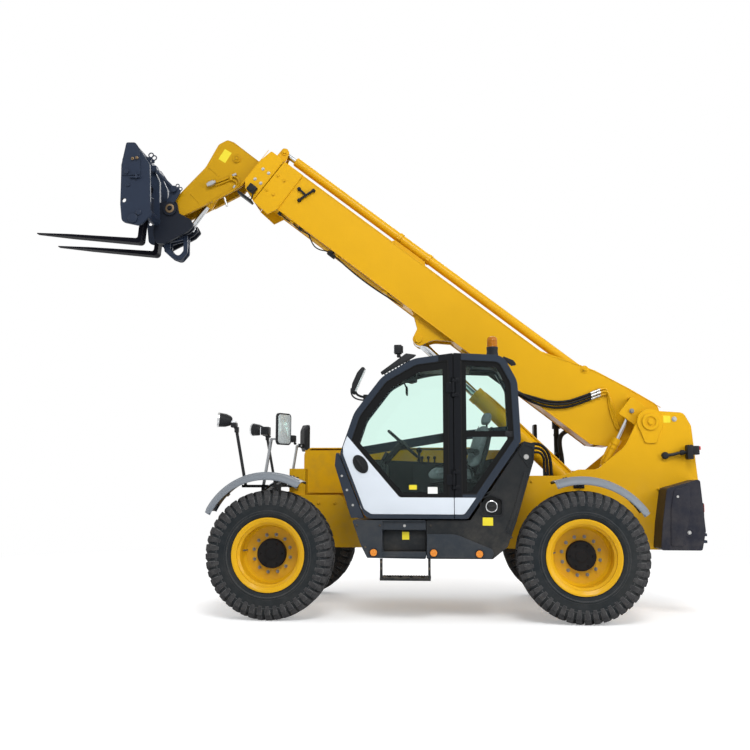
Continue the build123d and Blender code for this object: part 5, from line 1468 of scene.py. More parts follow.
finished("hood_stiffeners", hood_edges, hood_yellow, "hood")

iron = Finish("engine iron", (0.06, 0.063, 0.068), 0.55, Metallic=0.5)
iron_grime = iron.noise(9.0, 7.0, 0.7).above(0.4, 0.75)
iron.set("Base Color", iron.blend(iron_grime * 0.7, (0.075, 0.08, 0.086), (0.03, 0.026, 0.022)))
iron.set("Roughness", 0.45 + iron_grime * 0.3)
iron.bump(iron.noise(120.0, 4.0), 0.3, 0.002)
iron = iron.material
dress(iron, "engine_block")
ENGINE_Y = -0.75
engine = bmesh.new()
for step in range(4):
    x = -0.423 + step * 0.214
    add_turned(engine, (x, ENGINE_Y, 1.322), (0, 0, 1), [
        (0, 0.034), (0.014, 0.034), (0.02, 0.024), (0.028, 0.0),
    ], 20)
    add_pipe(engine, [
        (x, ENGINE_Y - 0.125, 1.15), (x, ENGINE_Y - 0.19, 1.13), (x + 0.02, ENGINE_Y - 0.212, 1.06),
        (x + 0.04, ENGINE_Y - 0.205, 0.98),
    ], 0.006)
for x, size in ((-0.36, 0.046), (-0.22, 0.046), (0.12, 0.056)):
    add_turned(engine, (x, ENGINE_Y - 0.245, 0.845), (0, 0, 1), [
        (-0.01, 0.0), (-0.01, size * 0.9), (0.02, size), (0.13, size), (0.145, size * 0.8), (0.15, 0.0),
    ], 28)
add_turned(engine, (0.3, ENGINE_Y - 0.16, 1.22), (1, 0, 0), [
    (0, 0.0), (0, 0.066), (0.015, 0.075), (0.085, 0.075), (0.09, 0.05), (0.12, 0.05), (0.12, 0.0),
], 32)
add_turned(engine, (-0.44, ENGINE_Y + 0.255, 1.275), (1, 0, 0), [
    (0, 0.0), (0, 0.045), (0.03, 0.07), (0.07, 0.072), (0.09, 0.045), (0.12, 0.045), (0.14, 0.068),
    (0.18, 0.066), (0.2, 0.03), (0.2, 0.0),
], 32)
add_turned(engine, (-0.62, -0.64, 1.5), (1, 0, 0), [
    (0, 0.0), (0, 0.085), (0.02, 0.095), (0.42, 0.095), (0.44, 0.085), (0.44, 0.0),
], 32)
for step in range(5):
    add_turned(engine, (-0.56 + step * 0.08, -0.64, 1.5), (1, 0, 0), [
        (0, 0.094), (0, 0.0985), (0.012, 0.0985), (0.012, 0.094),
    ], 32, hollow=True)
fan = Matrix.Translation((0.47, ENGINE_Y, 1.0))
add_turned(engine, (-0.022, 0, 0), (1, 0, 0), [
    (0, 0.0), (0, 0.06), (0.06, 0.055), (0.07, 0.03), (0.07, 0.0),
], 28, fan)
BLADES = 7
for blade in range(BLADES):
    turn = fan @ Matrix.Rotation(math.radians(blade * 360 / BLADES), 4, "X")
    turn = turn @ Matrix.Rotation(math.radians(28), 4, "Z")
    blade_outline = rounded([
        (-0.006, 0.045, 0.0), (0.006, 0.045, 0.0), (0.006, 0.25, 0.004), (-0.006, 0.25, 0.004),
    ])
    add_plate(engine, blade_outline, -0.045, 0.045, turn, edge=0.002)
finished("engine_details", engine, iron)
cover_spots = [(-0.52 + step * 0.098, ENGINE_Y + side * 0.112, 1.25) for step in range(9) for side in (1, -1)]
bolts("engine_cover_screws", [(spot, (0, 0, 1), 0.014) for spot in cover_spots], zinc)
engine_hoses = bmesh.new()
add_pipe(engine_hoses, [
    (-0.18, -0.64, 1.5), (-0.04, -0.63, 1.51), (0.04, -0.56, 1.46), (0.06, -0.535, 1.34), (0.06, -0.535, 1.235),
], 0.032)
add_pipe(engine_hoses, [
    (0.32, ENGINE_Y + 0.08, 1.2), (0.46, ENGINE_Y + 0.16, 1.26), (0.58, ENGINE_Y + 0.18, 1.25),
    (0.66, ENGINE_Y + 0.18, 1.22),
], 0.026)
add_pipe(engine_hoses, [
    (0.38, ENGINE_Y - 0.15, 0.88), (0.5, ENGINE_Y - 0.24, 0.82), (0.6, ENGINE_Y - 0.24, 0.82),
    (0.66, ENGINE_Y - 0.2, 0.86),
], 0.026)
add_pipe(engine_hoses, [
    (0.31, -0.965, 1.2), (0.4, -0.985, 1.21), (0.52, -1.03, 1.16), (0.6, -1.04, 1.02), (0.6, -1.04, 0.8),
], 0.022)
finished("engine_hoses", engine_hoses, black_plastic)
belt = bmesh.new()
# centre, radius and the arc in degrees, for the crank's, the fan's and the alternator's pulleys
PULLEYS = [
    (ENGINE_Y, 0.9, 0.102, range(160, 381, 20)),
    (ENGINE_Y, 1.0, 0.07, range(20, 91, 35)),
    (ENGINE_Y - 0.16, 1.22, 0.048, range(30, 211, 30)),
]
loop = []
for y, z, radius, arc in PULLEYS:
    for angle in map(math.radians, arc):
        loop.append((0.42, y + radius * math.cos(angle), z + radius * math.sin(angle)))
add_pipe(belt, loop + loop[:1], 0.008, 8, 4)
finished("fan_belt", belt, rubber)
radiator = bmesh.new()
add_slats(radiator, 18, (0, 0, 0.032), (0.66, -1.05, 0.74), (0.7, -0.5, 0.748), edge=0)
add_slats(radiator, 2, (0, 0.57, 0), (0.655, -1.075, 0.7), (0.705, -1.045, 1.34), edge=0.004)
add_block(radiator, (0.655, -1.075, 1.32), (0.705, -0.475, 1.38), edge=0.006)
finished("radiator_core", radiator, iron)

pipe_steel = Finish("exhaust steel", (0.16, 0.15, 0.14), 0.42, Metallic=0.9)
heat = pipe_steel.noise(6.0, 6.0, 0.7).above(0.35, 0.8)
pole_side = pipe_steel.along("X").above(MIDDLE - 1.536, MIDDLE - 1.53)
tone = pipe_steel.blend(heat, (0.1, 0.085, 0.07), (0.26, 0.24, 0.22))
pipe_steel.set("Base Color", pipe_steel.blend(pole_side, tone, (0.016, 0.016, 0.017)))
pipe_steel.set("Metallic", 0.9 - pole_side * 0.9)
pipe_steel.set("Roughness", 0.36 + heat * 0.25)
pipe_steel = pipe_steel.material
dress(pipe_steel, "exhaust")
intake = bmesh.new()
for step in range(7):
    add_rod(intake, (-1.504, -0.65, 1.945 + step * 0.0115), (0, 0, 1), 0.05, 0.006, 24)
clamp = [(0, 0.031), (0, 0.036), (0.018, 0.036), (0.018, 0.031)]
for z in (1.48, 1.86):
    add_turned(intake, (-1.504, -0.65, z), (0, 0, 1), clamp, 24, hollow=True)
finished("intake_cap_and_clamps", intake, black_plastic)
# the bent tail pipe stands beside the intake's pole, on a bracket bolted to the frame
tail = bmesh.new()
add_pipe(tail, [
    (-1.556, -0.42, 1.352), (-1.556, -0.54, 1.354), (-1.556, -0.582, 1.4), (-1.556, -0.585, 1.5),
    (-1.552, -0.585, 1.61), (-1.534, -0.585, 1.715), (-1.53, -0.585, 1.8), (-1.546, -0.585, 1.86),
    (-1.59, -0.585, 1.9), (-1.64, -0.585, 1.922),
], 0.026, 20, 6)
add_turned(tail, (-1.604, -0.585, 1.907), (-0.92, 0, 0.39), [
    (0, 0.026), (0.002, 0.029), (0.04, 0.029), (0.04, 0.022), (0.0, 0.022),
], 28, hollow=True)
add_turned(tail, (-1.556, -0.585, 1.405), (0, 0, 1), [
    (0, 0.024), (0, 0.04), (0.012, 0.04), (0.012, 0.024),
], 24, hollow=True)
finished("tail_pipe", tail, chassis_black)
foot = bmesh.new()
add_block(foot, (-1.61, -0.71, 1.385), (-1.45, -0.4, 1.405), edge=0.004)
add_block(foot, (-1.61, -0.42, 1.3), (-1.45, -0.4, 1.395), edge=0.004)
add_block(foot, (-1.562, -0.662, 1.64), (-1.48, -0.56, 1.662), edge=0.004)
finished("intake_bracket", foot, chassis_black)
bolts("intake_bracket_bolts", [((x, -0.69, 1.405), (0, 0, 1), 0.02) for x in (-1.59, -1.47)], chassis_black)
far_mirror = bmesh.new()
add_pipe(far_mirror, [
    (-1.37, -0.46, 1.39), (-1.37, -0.47, 1.5), (-1.365, -0.6, 1.66), (-1.3, -0.64, 1.76), (-1.262, -0.65, 1.82),
], 0.011)
add_block(far_mirror, (-1.275, -0.74, 1.77), (-1.235, -0.56, 1.99), edge=0.014)
add_block(far_mirror, (-1.4, -0.455, 1.37), (-1.34, -0.43, 1.45), edge=0.004)
finished("rear_view_mirror", far_mirror, black_plastic)

# ---------------------------------------------------------------- cab interior
# A grey cloth suspension seat with padded arm rests stands on a ribbed floor. The dash,
# the wheel and the side console with its levers are dark moulded plastic.
trim_dark = moulded("interior moulding", (0.02, 0.022, 0.024), 0.55, dust=0.0)
floor_mat = Finish("floor mat", (0.018, 0.018, 0.018), 0.85)
ribs_wave = floor_mat.node("TexWave", {"bands_direction": "Y"}, Vector=floor_mat.place(), Scale=14.0)
floor_mat.bump(Number(floor_mat.tree, ribs_wave.outputs["Fac"]), 0.5, 0.003)
floor_mat.set("Roughness", 0.75 + floor_mat.noise(8.0) * 0.2)
dress(floor_mat.material, "cab_floor")
dress(trim_dark, "cab_controls")

seat_cloth = Finish("seat cloth", (0.155, 0.17, 0.185), 0.85)
twill = seat_cloth.node(
    "TexWave", {"bands_direction": "DIAGONAL"}, Vector=seat_cloth.place(), Scale=130.0, Distortion=1.5,
)
thread = Number(seat_cloth.tree, twill.outputs["Fac"])
nap = seat_cloth.noise(45.0, 5.0)
tone = seat_cloth.blend(thread, (0.125, 0.138, 0.152), (0.185, 0.2, 0.215))
seat_cloth.set("Base Color", seat_cloth.blend(nap.above(0.45, 0.8) * 0.4, tone, (0.24, 0.25, 0.26)))
seat_cloth.set("Sheen Weight", 0.25)
seat_cloth.bump(thread * 0.6 + nap * 0.4, 0.35, 0.0015)
seat_cloth = seat_cloth.material

SEAT_Y = 0.76
VOXEL = 0.006
STUFFING_FRAMES = 20


def padded_block(name, rows, half_width, crown, most):
    """A stuffed cushion from a side outline: swollen by cloth under pressure, then smoothed."""
    start = bmesh.new()
    add_plate(start, rounded(rows), SEAT_Y - half_width, SEAT_Y + half_width, edge=0.018)
    mesh = bpy.data.meshes.new(name)
    start.to_mesh(mesh)
    start.free()
    mesh.transform(AXLES)
    pad = in_scene(name, mesh)
    pad.data.materials.append(seat_cloth)
    remesh = pad.modifiers.new("even faces", "REMESH")
    remesh.mode = "VOXEL"
    remesh.voxel_size = VOXEL
    even = as_built(pad)
    pad.modifiers.remove(remesh)
    pad.data = even
    rest = [vert.co.copy() for vert in even.vertices]
    cloth = pad.modifiers.new("stuffing", "CLOTH")
    cloth.settings.use_pressure = True
    cloth.settings.uniform_pressure_force = crown
    cloth.settings.effector_weights.gravity = 0
    cloth.settings.quality = 6
    for frame_number in range(1, STUFFING_FRAMES + 1):
        bpy.context.scene.frame_set(frame_number)
    blown = as_built(pad)
    pad.modifiers.remove(cloth)
    bpy.context.scene.frame_set(1)
    for vert, place in zip(blown.vertices, rest):
        shift = vert.co - place
        if shift.length > most:
            vert.co = place + shift.normalized() * most
    pad.data = blown
    pad.data.materials.clear()
    pad.data.materials.append(seat_cloth)
    for face in pad.data.polygons:
        face.use_smooth = True
    smooth = pad.modifiers.new("smooth", "SUBSURF")
    smooth.levels = smooth.render_levels = 1
    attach(pad, "chassis")
    return pad


# name, side outline, half width, pressure, most swelling
CUSHIONS = [
    ("seat_cushion", [
        (-0.505, 1.35, 0.05), (-0.045, 1.355, 0.06), (-0.03, 1.405, 0.05), (-0.08, 1.442, 0.05),
        (-0.5, 1.425, 0.04),
    ], 0.215, 4.0, 0.022),
    ("seat_backrest", [
        (-0.52, 1.47, 0.05), (-0.43, 1.465, 0.04), (-0.48, 1.64, 0.3), (-0.548, 1.872, 0.05),
        (-0.618, 1.884, 0.04), (-0.644, 1.81, 0.05),
    ], 0.205, 4.0, 0.022),
    ("seat_head_rest", [
        (-0.66, 1.9, 0.03), (-0.574, 1.896, 0.03), (-0.594, 2.002, 0.03), (-0.68, 2.006, 0.03),
    ], 0.135, 4.0, 0.01),
]
for pad in [padded_block(*row) for row in CUSHIONS]:
    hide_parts("operator_seat")
piping = bmesh.new()
for side in (-1, 1):
    y = SEAT_Y + side * 0.15
    add_pipe(piping, [
        (-0.5, y, 1.443), (-0.38, y, 1.452), (-0.22, y, 1.462), (-0.1, y, 1.46), (-0.045, y, 1.43),
        (-0.022, y, 1.395),
    ], 0.0035)
    add_pipe(piping, [
        (-0.42, y, 1.48), (-0.452, y, 1.58), (-0.486, y, 1.7), (-0.52, y, 1.8), (-0.545, y, 1.868),
    ], 0.0035)
finished("seat_piping", piping, seal_rubber)
seat_base = bmesh.new()
add_block(seat_base, (-0.42, SEAT_Y - 0.2, 1.052), (-0.08, SEAT_Y + 0.2, 1.1), edge=0.012)
for step in range(6):
    half, x_grow = 0.165 + 0.012 * (step % 2), 0.01 * (step % 2)
    z = 1.1 + step * 0.036
    add_block(
        seat_base, (-0.395 - x_grow, SEAT_Y - half, z), (-0.125 + x_grow, SEAT_Y + half, z + 0.036), edge=0.008,
    )
add_block(seat_base, (-0.52, SEAT_Y - 0.205, 1.312), (-0.06, SEAT_Y + 0.205, 1.35), edge=0.01)
shell = rounded([
    (-0.56, 1.4, 0.02), (-0.52, 1.4, 0.02), (-0.655, 1.86, 0.02), (-0.685, 1.86, 0.02), (-0.64, 1.64, 0.3),
])
add_plate(seat_base, shell, SEAT_Y - 0.2, SEAT_Y + 0.2, edge=0.008)
for side in (-1, 1):
    y = SEAT_Y + side * 0.06
    add_turned(seat_base, (-0.63, y, 1.84), (-0.02, 0, 1), [(0, 0.007), (0.1, 0.007)], 10)
    y = SEAT_Y + side * 0.255
    add_block(seat_base, (-0.5, y - 0.03, 1.6), (-0.19, y + 0.03, 1.645), edge=0.018)
    add_turned(seat_base, (-0.515, y - side * 0.03, 1.61), (0, side, 0), [
        (-0.02, 0.0), (-0.02, 0.032), (0.02, 0.032), (0.02, 0.0),
    ], 24)
base_piece = finished("seat_frame_and_bellows", seat_base, trim_dark)
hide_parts("operator_seat")
belt = bmesh.new()
add_pipe(belt, [
    (-0.48, SEAT_Y + 0.235, 1.33), (-0.47, SEAT_Y + 0.24, 1.42), (-0.44, SEAT_Y + 0.232, 1.48),
    (-0.4, SEAT_Y + 0.18, 1.492),
], 0.012)
add_block(belt, (-0.42, SEAT_Y + 0.15, 1.482), (-0.36, SEAT_Y + 0.2, 1.502), edge=0.006)
finished("seat_belt_stalk", belt, black_plastic)

controls = bmesh.new()
DIAL_Y, DIAL_Z = 0.075, 0.005
screen_place = Matrix.Translation((0.395, 0.76, 1.56)) @ Matrix.Rotation(math.radians(-28), 4, "Y")
add_block(controls, (-0.015, -0.15, -0.055), (0.02, 0.15, 0.06), screen_place, edge=0.012)
for side in (-1, 1):
    add_turned(controls, (-0.01, side * DIAL_Y, DIAL_Z), (-1, 0, 0), [
        (0, 0.045), (0.012, 0.045), (0.012, 0.038), (0.006, 0.036), (0.006, 0.0),
    ], 28, screen_place)
add_turned(controls, (0.215, 0.76, 1.705), (-0.215, 0, 0.24), [
    (-0.03, 0.03), (0.0, 0.045), (0.018, 0.045), (0.026, 0.03), (0.027, 0.0),
], 28)
for y, z in ((0.86, 1.13), (0.68, 1.13), (0.6, 1.11)):
    pedal = [(0.205, -0.055, 0.01), (0.225, -0.06, 0.01), (0.285, 0.035, 0.02), (0.265, 0.045, 0.02)]
    add_plate(
        controls, rounded([(x, z + rise, radius) for x, rise, radius in pedal]), y - 0.035, y + 0.035,
        edge=0.005,
    )
    arm = ((0.255, 0.01), (0.3, 0.06), (0.345, 0.1), (0.38, 0.12))
    add_pipe(controls, [(x, y, z + rise) for x, rise in arm], 0.009)
lever = [(0, 0.022), (0.006, 0.02), (0.018, 0.01), (0.06, 0.008), (0.066, 0.016), (0.088, 0.014), (0.094, 0.0)]
for step in range(3):
    add_turned(controls, (-0.1 + step * 0.065, 0.435, 1.498), (0, 0, 1), lever, 20)
for step in range(8):
    x = -0.27 + (step % 4) * 0.034
    y = 0.425 + (step // 4) * 0.045
    add_block(controls, (x - 0.012, y - 0.016, 1.499), (x + 0.012, y + 0.016, 1.508))
for step in range(5):
    low, high = 0.034 - step * 0.003, 0.03 - step * 0.003
    fold = [(0, 0.0), (0, low), (0.01, high), (0.01, 0.0)]
    add_turned(controls, (0.06, 0.45, 1.505 + step * 0.016), (0, 0, 1), fold, 20)
finished("dash_and_levers", controls, trim_dark)
dials = bmesh.new()
for side in (-1, 1):
    add_turned(dials, (-0.0165, side * DIAL_Y, DIAL_Z), (-1, 0, 0), [
        (0, 0.036), (0.001, 0.036), (0.001, 0.0),
    ], 28, screen_place)
finished("dash_dials", dials, printed_black)
pointers = bmesh.new()
for side in (-1, 1):
    y_middle = side * DIAL_Y
    for step in range(11):
        angle = math.radians(-130 + step * 26)
        y, z = y_middle + 0.029 * math.sin(angle), DIAL_Z + 0.029 * math.cos(angle)
        add_block(
            pointers, (-0.0188, y - 0.0012, z - 0.003), (-0.0178, y + 0.0012, z + 0.003), screen_place, edge=0,
        )
    add_block(
        pointers, (-0.019, y_middle - 0.001, 0.003), (-0.018, y_middle + 0.001, 0.03), screen_place, edge=0,
    )
finished("dial_marks", pointers, plate_white)
lining = bmesh.new()
add_block(lining, (-0.47, 0.4, 2.455), (0.05, 1.05, 2.475), edge=0.006)
add_block(lining, (0.06, 0.94, 2.3), (0.22, 1.04, 2.4), edge=0.02)
add_turned(lining, (0.14, 1.0, 2.35), (-0.4, -0.9, -0.1), [
    (0, 0.0), (0, 0.055), (0.07, 0.05), (0.08, 0.03), (0.08, 0.0),
], 24)
add_pipe(lining, [(0.235, 0.62, 2.4), (0.22, 0.62, 2.36), (0.2, 0.62, 2.33), (0.19, 0.62, 2.3)], 0.008)
add_block(lining, (0.17, 0.53, 2.215), (0.19, 0.71, 2.3), edge=0.008)
for y in (0.4, 1.045):
    add_pipe(lining, [(0.3, y, 2.36), (0.0, y, 2.46), (-0.35, y, 2.475), (-0.74, y, 2.455)], 0.022)
add_plate(lining, rounded([
    (-0.385, 1.06, 0.02), (0.5, 1.06, 0.02), (0.64, 1.42, 0.03), (0.61, 1.56, 0.03), (-0.42, 1.51, 0.03),
    (-0.79, 1.58, 0.03), (-0.62, 1.3, 0.03),
]), 0.404, 0.412)
finished("cab_lining", lining, trim_dark)

# ---------------------------------------------------------------- boom
# Three nested box sections of bent and welded plate, painted after welding. Slide pads are
# bolted through the collars, and hoses and pipes run along the sides to the head.
boom_yellow = sprayed("boom yellow", YELLOW, 0.32, dust=0.25, coat=0.1)
dress(boom_yellow, "outer_boom", "middle_boom", "extension_barrel")
# painted shade: the head's yellow is the boom's paint darkened by about a quarter, for the darker light the
# head stands in
head_shaded_yellow = sprayed("boom head painted shade yellow", (0.5, 0.27, 0.005), 0.34, dust=0.15, coat=0.07)
dress(head_shaded_yellow, "inner_boom")
dress(chrome, "extension_rod")
ALONG_BOOM = Matrix.Translation((-2.32, 0, 1.94)) @ Matrix.Rotation(math.radians(-38), 4, "Y")
SIDE_Y = 0.19
FRONT_COLLAR_Y = 0.205


def both(shape, adder, rows, *settings, **more):
    """Adds the same part on the left and, mirrored in y, on the right."""
    for side in (1, -1):
        adder(shape, [(x, side * y, z) for x, y, z in rows], *settings, **more)


seams = bmesh.new()
both(seams, add_pipe, [
    (1.36, SIDE_Y, -0.046), (2.5, SIDE_Y, -0.046), (3.6, SIDE_Y, -0.046), (4.63, SIDE_Y, -0.046),
], 0.004, 8, 2, ALONG_BOOM)
both(seams, add_pipe, [
    (1.3, SIDE_Y, -0.046), (1.0, SIDE_Y, 0.06), (0.745, SIDE_Y, 0.136), (0.34, SIDE_Y, 0.198),
    (-0.03, SIDE_Y, 0.24),
], 0.004, 8, 8, ALONG_BOOM)
both(seams, add_pipe, [
    (4.655, SIDE_Y + 0.013, -0.06), (4.655, SIDE_Y + 0.013, -0.25), (4.655, SIDE_Y + 0.013, -0.5),
], 0.004, 8, 2, ALONG_BOOM)
both(seams, add_pipe, [
    (2.14, 0.13, -0.522), (2.35, 0.13, -0.522), (2.72, 0.13, -0.522),
], 0.006, 8, 2, ALONG_BOOM)
for side in (1, -1):
    y_low, y_high = side * (SIDE_Y - 0.004), side * (SIDE_Y + 0.005)
    add_block(seams, (0.31, y_low, -0.524), (4.65, y_high, -0.512), ALONG_BOOM, edge=0.002)
pivot_boss = [(0, 0.0), (0, 0.044), (0.006, 0.042), (0.006, 0.026), (0.016, 0.026), (0.018, 0.0)]
add_knobs(seams, [(0.84, SIDE_Y - 0.001, 0.085)], pivot_boss, 28, ALONG_BOOM)
for u in (2.95, 3.36):
    clamp = [(0, 0.0535), (0, 0.062), (0.044, 0.062), (0.044, 0.0535)]
    add_turned(seams, (u - 0.022, 0, 0.08), (1, 0, 0), clamp, 36, ALONG_BOOM, hollow=True)
    for side in (1, -1):
        add_block(seams, (u - 0.022, side * 0.052, 0.046), (u + 0.022, side * 0.078, 0.062), ALONG_BOOM)
finished("boom_welds_and_flanges", seams, boom_yellow, "boom")


def boom_rows(rows):
    """Turns bolt rows from the boom's own directions to the machine's."""
    turn = ALONG_BOOM.to_3x3()
    return [(ALONG_BOOM @ Vector(place), turn @ Vector(way), width) for place, way, width in rows]


collar_rows = side_rows([(u, w) for u in (4.785, 4.88) for w in (-0.214, -0.418)], 0.2035, 0.026)
collar_rows += side_rows([(0.84, 0.085)], SIDE_Y + 0.016, 0.03)
collar_rows += [((u, side * 0.065, 0.0615), (0, 0, 1), 0.02) for side in (1, -1) for u in (2.95, 3.36)]
bolts("collar_pad_bolts", boom_rows(collar_rows), boom_yellow, "boom")
bolts("trim_pin_bolt", side_rows([(-2.155, 2.062)], 0.364, 0.034, (1,)), dull_steel, "boom")

guide = bmesh.new()
GUIDE_Y = SIDE_Y + 0.018
both(guide, add_pipe, [
    (4.445, GUIDE_Y, -0.107), (4.466, GUIDE_Y, -0.17), (4.487, GUIDE_Y, -0.232), (4.506, GUIDE_Y, -0.292),
], 0.015, 12, 4, ALONG_BOOM)
both(guide, add_pipe, [
    (4.478, GUIDE_Y, -0.202), (4.52, GUIDE_Y + 0.004, -0.197), (4.589, GUIDE_Y - 0.004, -0.19),
], 0.012, 12, 6, ALONG_BOOM)
guide_feet = [(u, SIDE_Y - 0.001, w) for u, w in ((4.445, -0.107), (4.506, -0.292), (4.589, -0.19))]
add_knobs(guide, guide_feet, [
    (0, 0.0), (0, 0.022), (0.026, 0.02), (0.036, 0.014), (0.036, 0.0),
], 20, ALONG_BOOM)
finished("hose_guides", guide, black_plastic, "boom")

# three flexible hoses leave the steel pipes at the boom's foot and run forward under it
hose_black = Finish("hydraulic hose", (0.012, 0.012, 0.013), 0.45)
braid = hose_black.node("TexWave", {"bands_direction": "DIAGONAL"}, Vector=hose_black.place(), Scale=90.0)
hose_black.bump(Number(hose_black.tree, braid.outputs["Fac"]), 0.25, 0.001)
hose_black.set("Roughness", 0.38 + hose_black.noise(20.0, 4.0) * 0.25)
hose_black = hose_black.material
route = [
    (-1.79, 2.243), (-1.66, 2.19), (-1.497, 2.142), (-1.32, 2.146), (-1.144, 2.2), (-1.015, 2.258),
    (-0.9, 2.335), (-0.7, 2.486),
]
hoses = bmesh.new()
fittings = bmesh.new()
steel_pipes = bmesh.new()
for number, (lift_z, y) in enumerate(((0.03, 0.212), (0.0, 0.232), (-0.03, 0.212))):
    points = [(x, y, z + lift_z * (1 if x < -1.05 else 0.35)) for x, z in route]
    points[-2] = (points[-2][0], 0.17 - number * 0.03, points[-2][2])
    points[-1] = (points[-1][0], 0.15 - number * 0.04, points[-1][2] + 0.01)
    add_pipe(hoses, points, 0.0135, 16, 8)
    start = Vector((-1.785, y, 2.241 + lift_z))
    ahead = Vector((-0.115, 0, 0.045)).normalized()
    add_turned(fittings, start - ahead * 0.02, ahead, [
        (0, 0.0), (0, 0.0165), (0.055, 0.0165), (0.055, 0.012), (0.07, 0.012), (0.07, 0.018), (0.098, 0.018),
        (0.098, 0.01), (0.11, 0.01), (0.11, 0.0),
    ], 16)
    bend = start + ahead * 0.09
    add_pipe(steel_pipes, [
        bend, (bend.x - 0.06, y, bend.z + 0.022), (-1.945 - number * 0.012, y - 0.004, 2.255 - number * 0.02),
        (-1.955 - number * 0.02, 0.203, 2.12), (-1.985 - number * 0.02, 0.203, 1.985),
        (-2.03 - number * 0.014, 0.203, 1.88),
    ], 0.01, 12, 8)
finished("boom_foot_hoses", hoses, hose_black, "boom")
# three more rise from the frame's well behind the cab and drop back beside the lift cylinder
well_hoses = bmesh.new()
for lane, radius in ((0.0, 0.017), (0.04, 0.015), (0.078, 0.013)):
    add_pipe(well_hoses, [
        (-0.96 - lane, 0.262, 1.24), (-0.97 - lane, 0.268, 1.46), (-1.02 - lane * 0.6, 0.272, 1.64 - lane),
        (-1.11, 0.272, 1.728 - lane * 1.2), (-1.22, 0.268, 1.722 - lane * 1.1),
        (-1.3 + lane * 0.6, 0.266, 1.64 - lane), (-1.325 + lane, 0.264, 1.5), (-1.33 + lane, 0.262, 1.24),
    ], radius, 16, 8)
finished("frame_well_hoses", well_hoses, hose_black)
finished("hose_fittings", fittings, zinc, "boom")
for y in (0.15, 0.11, 0.07):
    add_pipe(steel_pipes, [(1.85, y, -0.534), (2.02, y, -0.534)], 0.01, 12, 2, ALONG_BOOM)
    add_pipe(steel_pipes, [(2.84, y, -0.534), (3.6, y, -0.534), (4.62, y, -0.534)], 0.01, 12, 2, ALONG_BOOM)
for u in (1.86, 3.05, 3.75, 4.4):
    add_block(steel_pipes, (u, 0.048, -0.548), (u + 0.05, 0.172, -0.512), ALONG_BOOM, edge=0.004)
finished("boom_steel_pipes", steel_pipes, boom_yellow, "boom")
loops = bmesh.new()
add_pipe(loops, [
    (4.62, 0.15, -0.534), (4.52, 0.16, -0.555), (4.42, 0.165, -0.54), (4.3, 0.165, -0.556),
    (4.18, 0.165, -0.532),
], 0.007, 12, 6, ALONG_BOOM)
add_pipe(loops, [
    (4.18, 0.165, -0.532), (4.08, 0.165, -0.6), (3.98, 0.165, -0.606), (3.9, 0.16, -0.56),
    (3.84, 0.155, -0.545),
], 0.007, 12, 6, ALONG_BOOM)
add_pipe(loops, [
    (3.84, 0.155, -0.545), (3.6, 0.15, -0.572), (3.3, 0.145, -0.58), (3.0, 0.14, -0.56), (2.85, 0.14, -0.54),
], 0.008, 12, 8, ALONG_BOOM)
for u in (4.6, 4.3, 3.84):
    add_block(loops, (u - 0.018, 0.14, -0.56), (u + 0.018, 0.182, -0.512), ALONG_BOOM)
add_block(loops, (3.78, 0.12, -0.585), (3.88, 0.175, -0.54), ALONG_BOOM, edge=0.008)
finished("underboom_cable", loops, hose_black, "boom")

# ---------------------------------------------------------------- boom head
# The middle section's collar holds four adjustable slide pads behind bright bolts. The
# gooseneck is a fabricated box with a bottom flange, and carries the attachment's pipes.
collar = bmesh.new()
for u, radius in ((4.942, 0.0035), (5.16, 0.003)):
    weld = [(u, FRONT_COLLAR_Y, w) for w in (-0.04, -0.3, -0.6)]
    both(collar, add_pipe, weld, radius, 8, 2, ALONG_BOOM)
roller_end = [(0, 0.0), (0, 0.04), (0.008, 0.04), (0.008, 0.024), (0.02, 0.022), (0.02, 0.0)]
add_knobs(collar, [(5.05, 0.064, 0.08)], roller_end, 24, ALONG_BOOM)
finished("collar_welds", collar, boom_yellow, "boom_middle")
pad_spots = [(u, w) for u in (4.986, 5.07) for w in (-0.254, -0.4)]
bolts("slide_pad_bolts", boom_rows(side_rows(pad_spots, FRONT_COLLAR_Y, 0.026)), zinc, "boom_middle")
sensor = bmesh.new()
add_block(
    sensor, (4.965, FRONT_COLLAR_Y - 0.001, -0.56), (5.065, FRONT_COLLAR_Y + 0.06, -0.47), ALONG_BOOM,
    edge=0.012,
)
cap = [(0, 0.0), (0, 0.034), (0.01, 0.032), (0.012, 0.0)]
add_turned(sensor, (5.015, FRONT_COLLAR_Y + 0.058, -0.515), (0, 1, 0), cap, 24, ALONG_BOOM)
add_pipe(sensor, [
    (4.975, FRONT_COLLAR_Y + 0.03, -0.545), (4.955, FRONT_COLLAR_Y + 0.02, -0.58),
    (4.96, FRONT_COLLAR_Y - 0.01, -0.618), (4.985, 0.15, -0.625),
], 0.007, 12, 6, ALONG_BOOM)
add_block(sensor, (4.955, 0.06, -0.64), (5.15, 0.19, -0.612), ALONG_BOOM, edge=0.006)
finished("boom_length_sensor", sensor, black_plastic, "boom_middle")

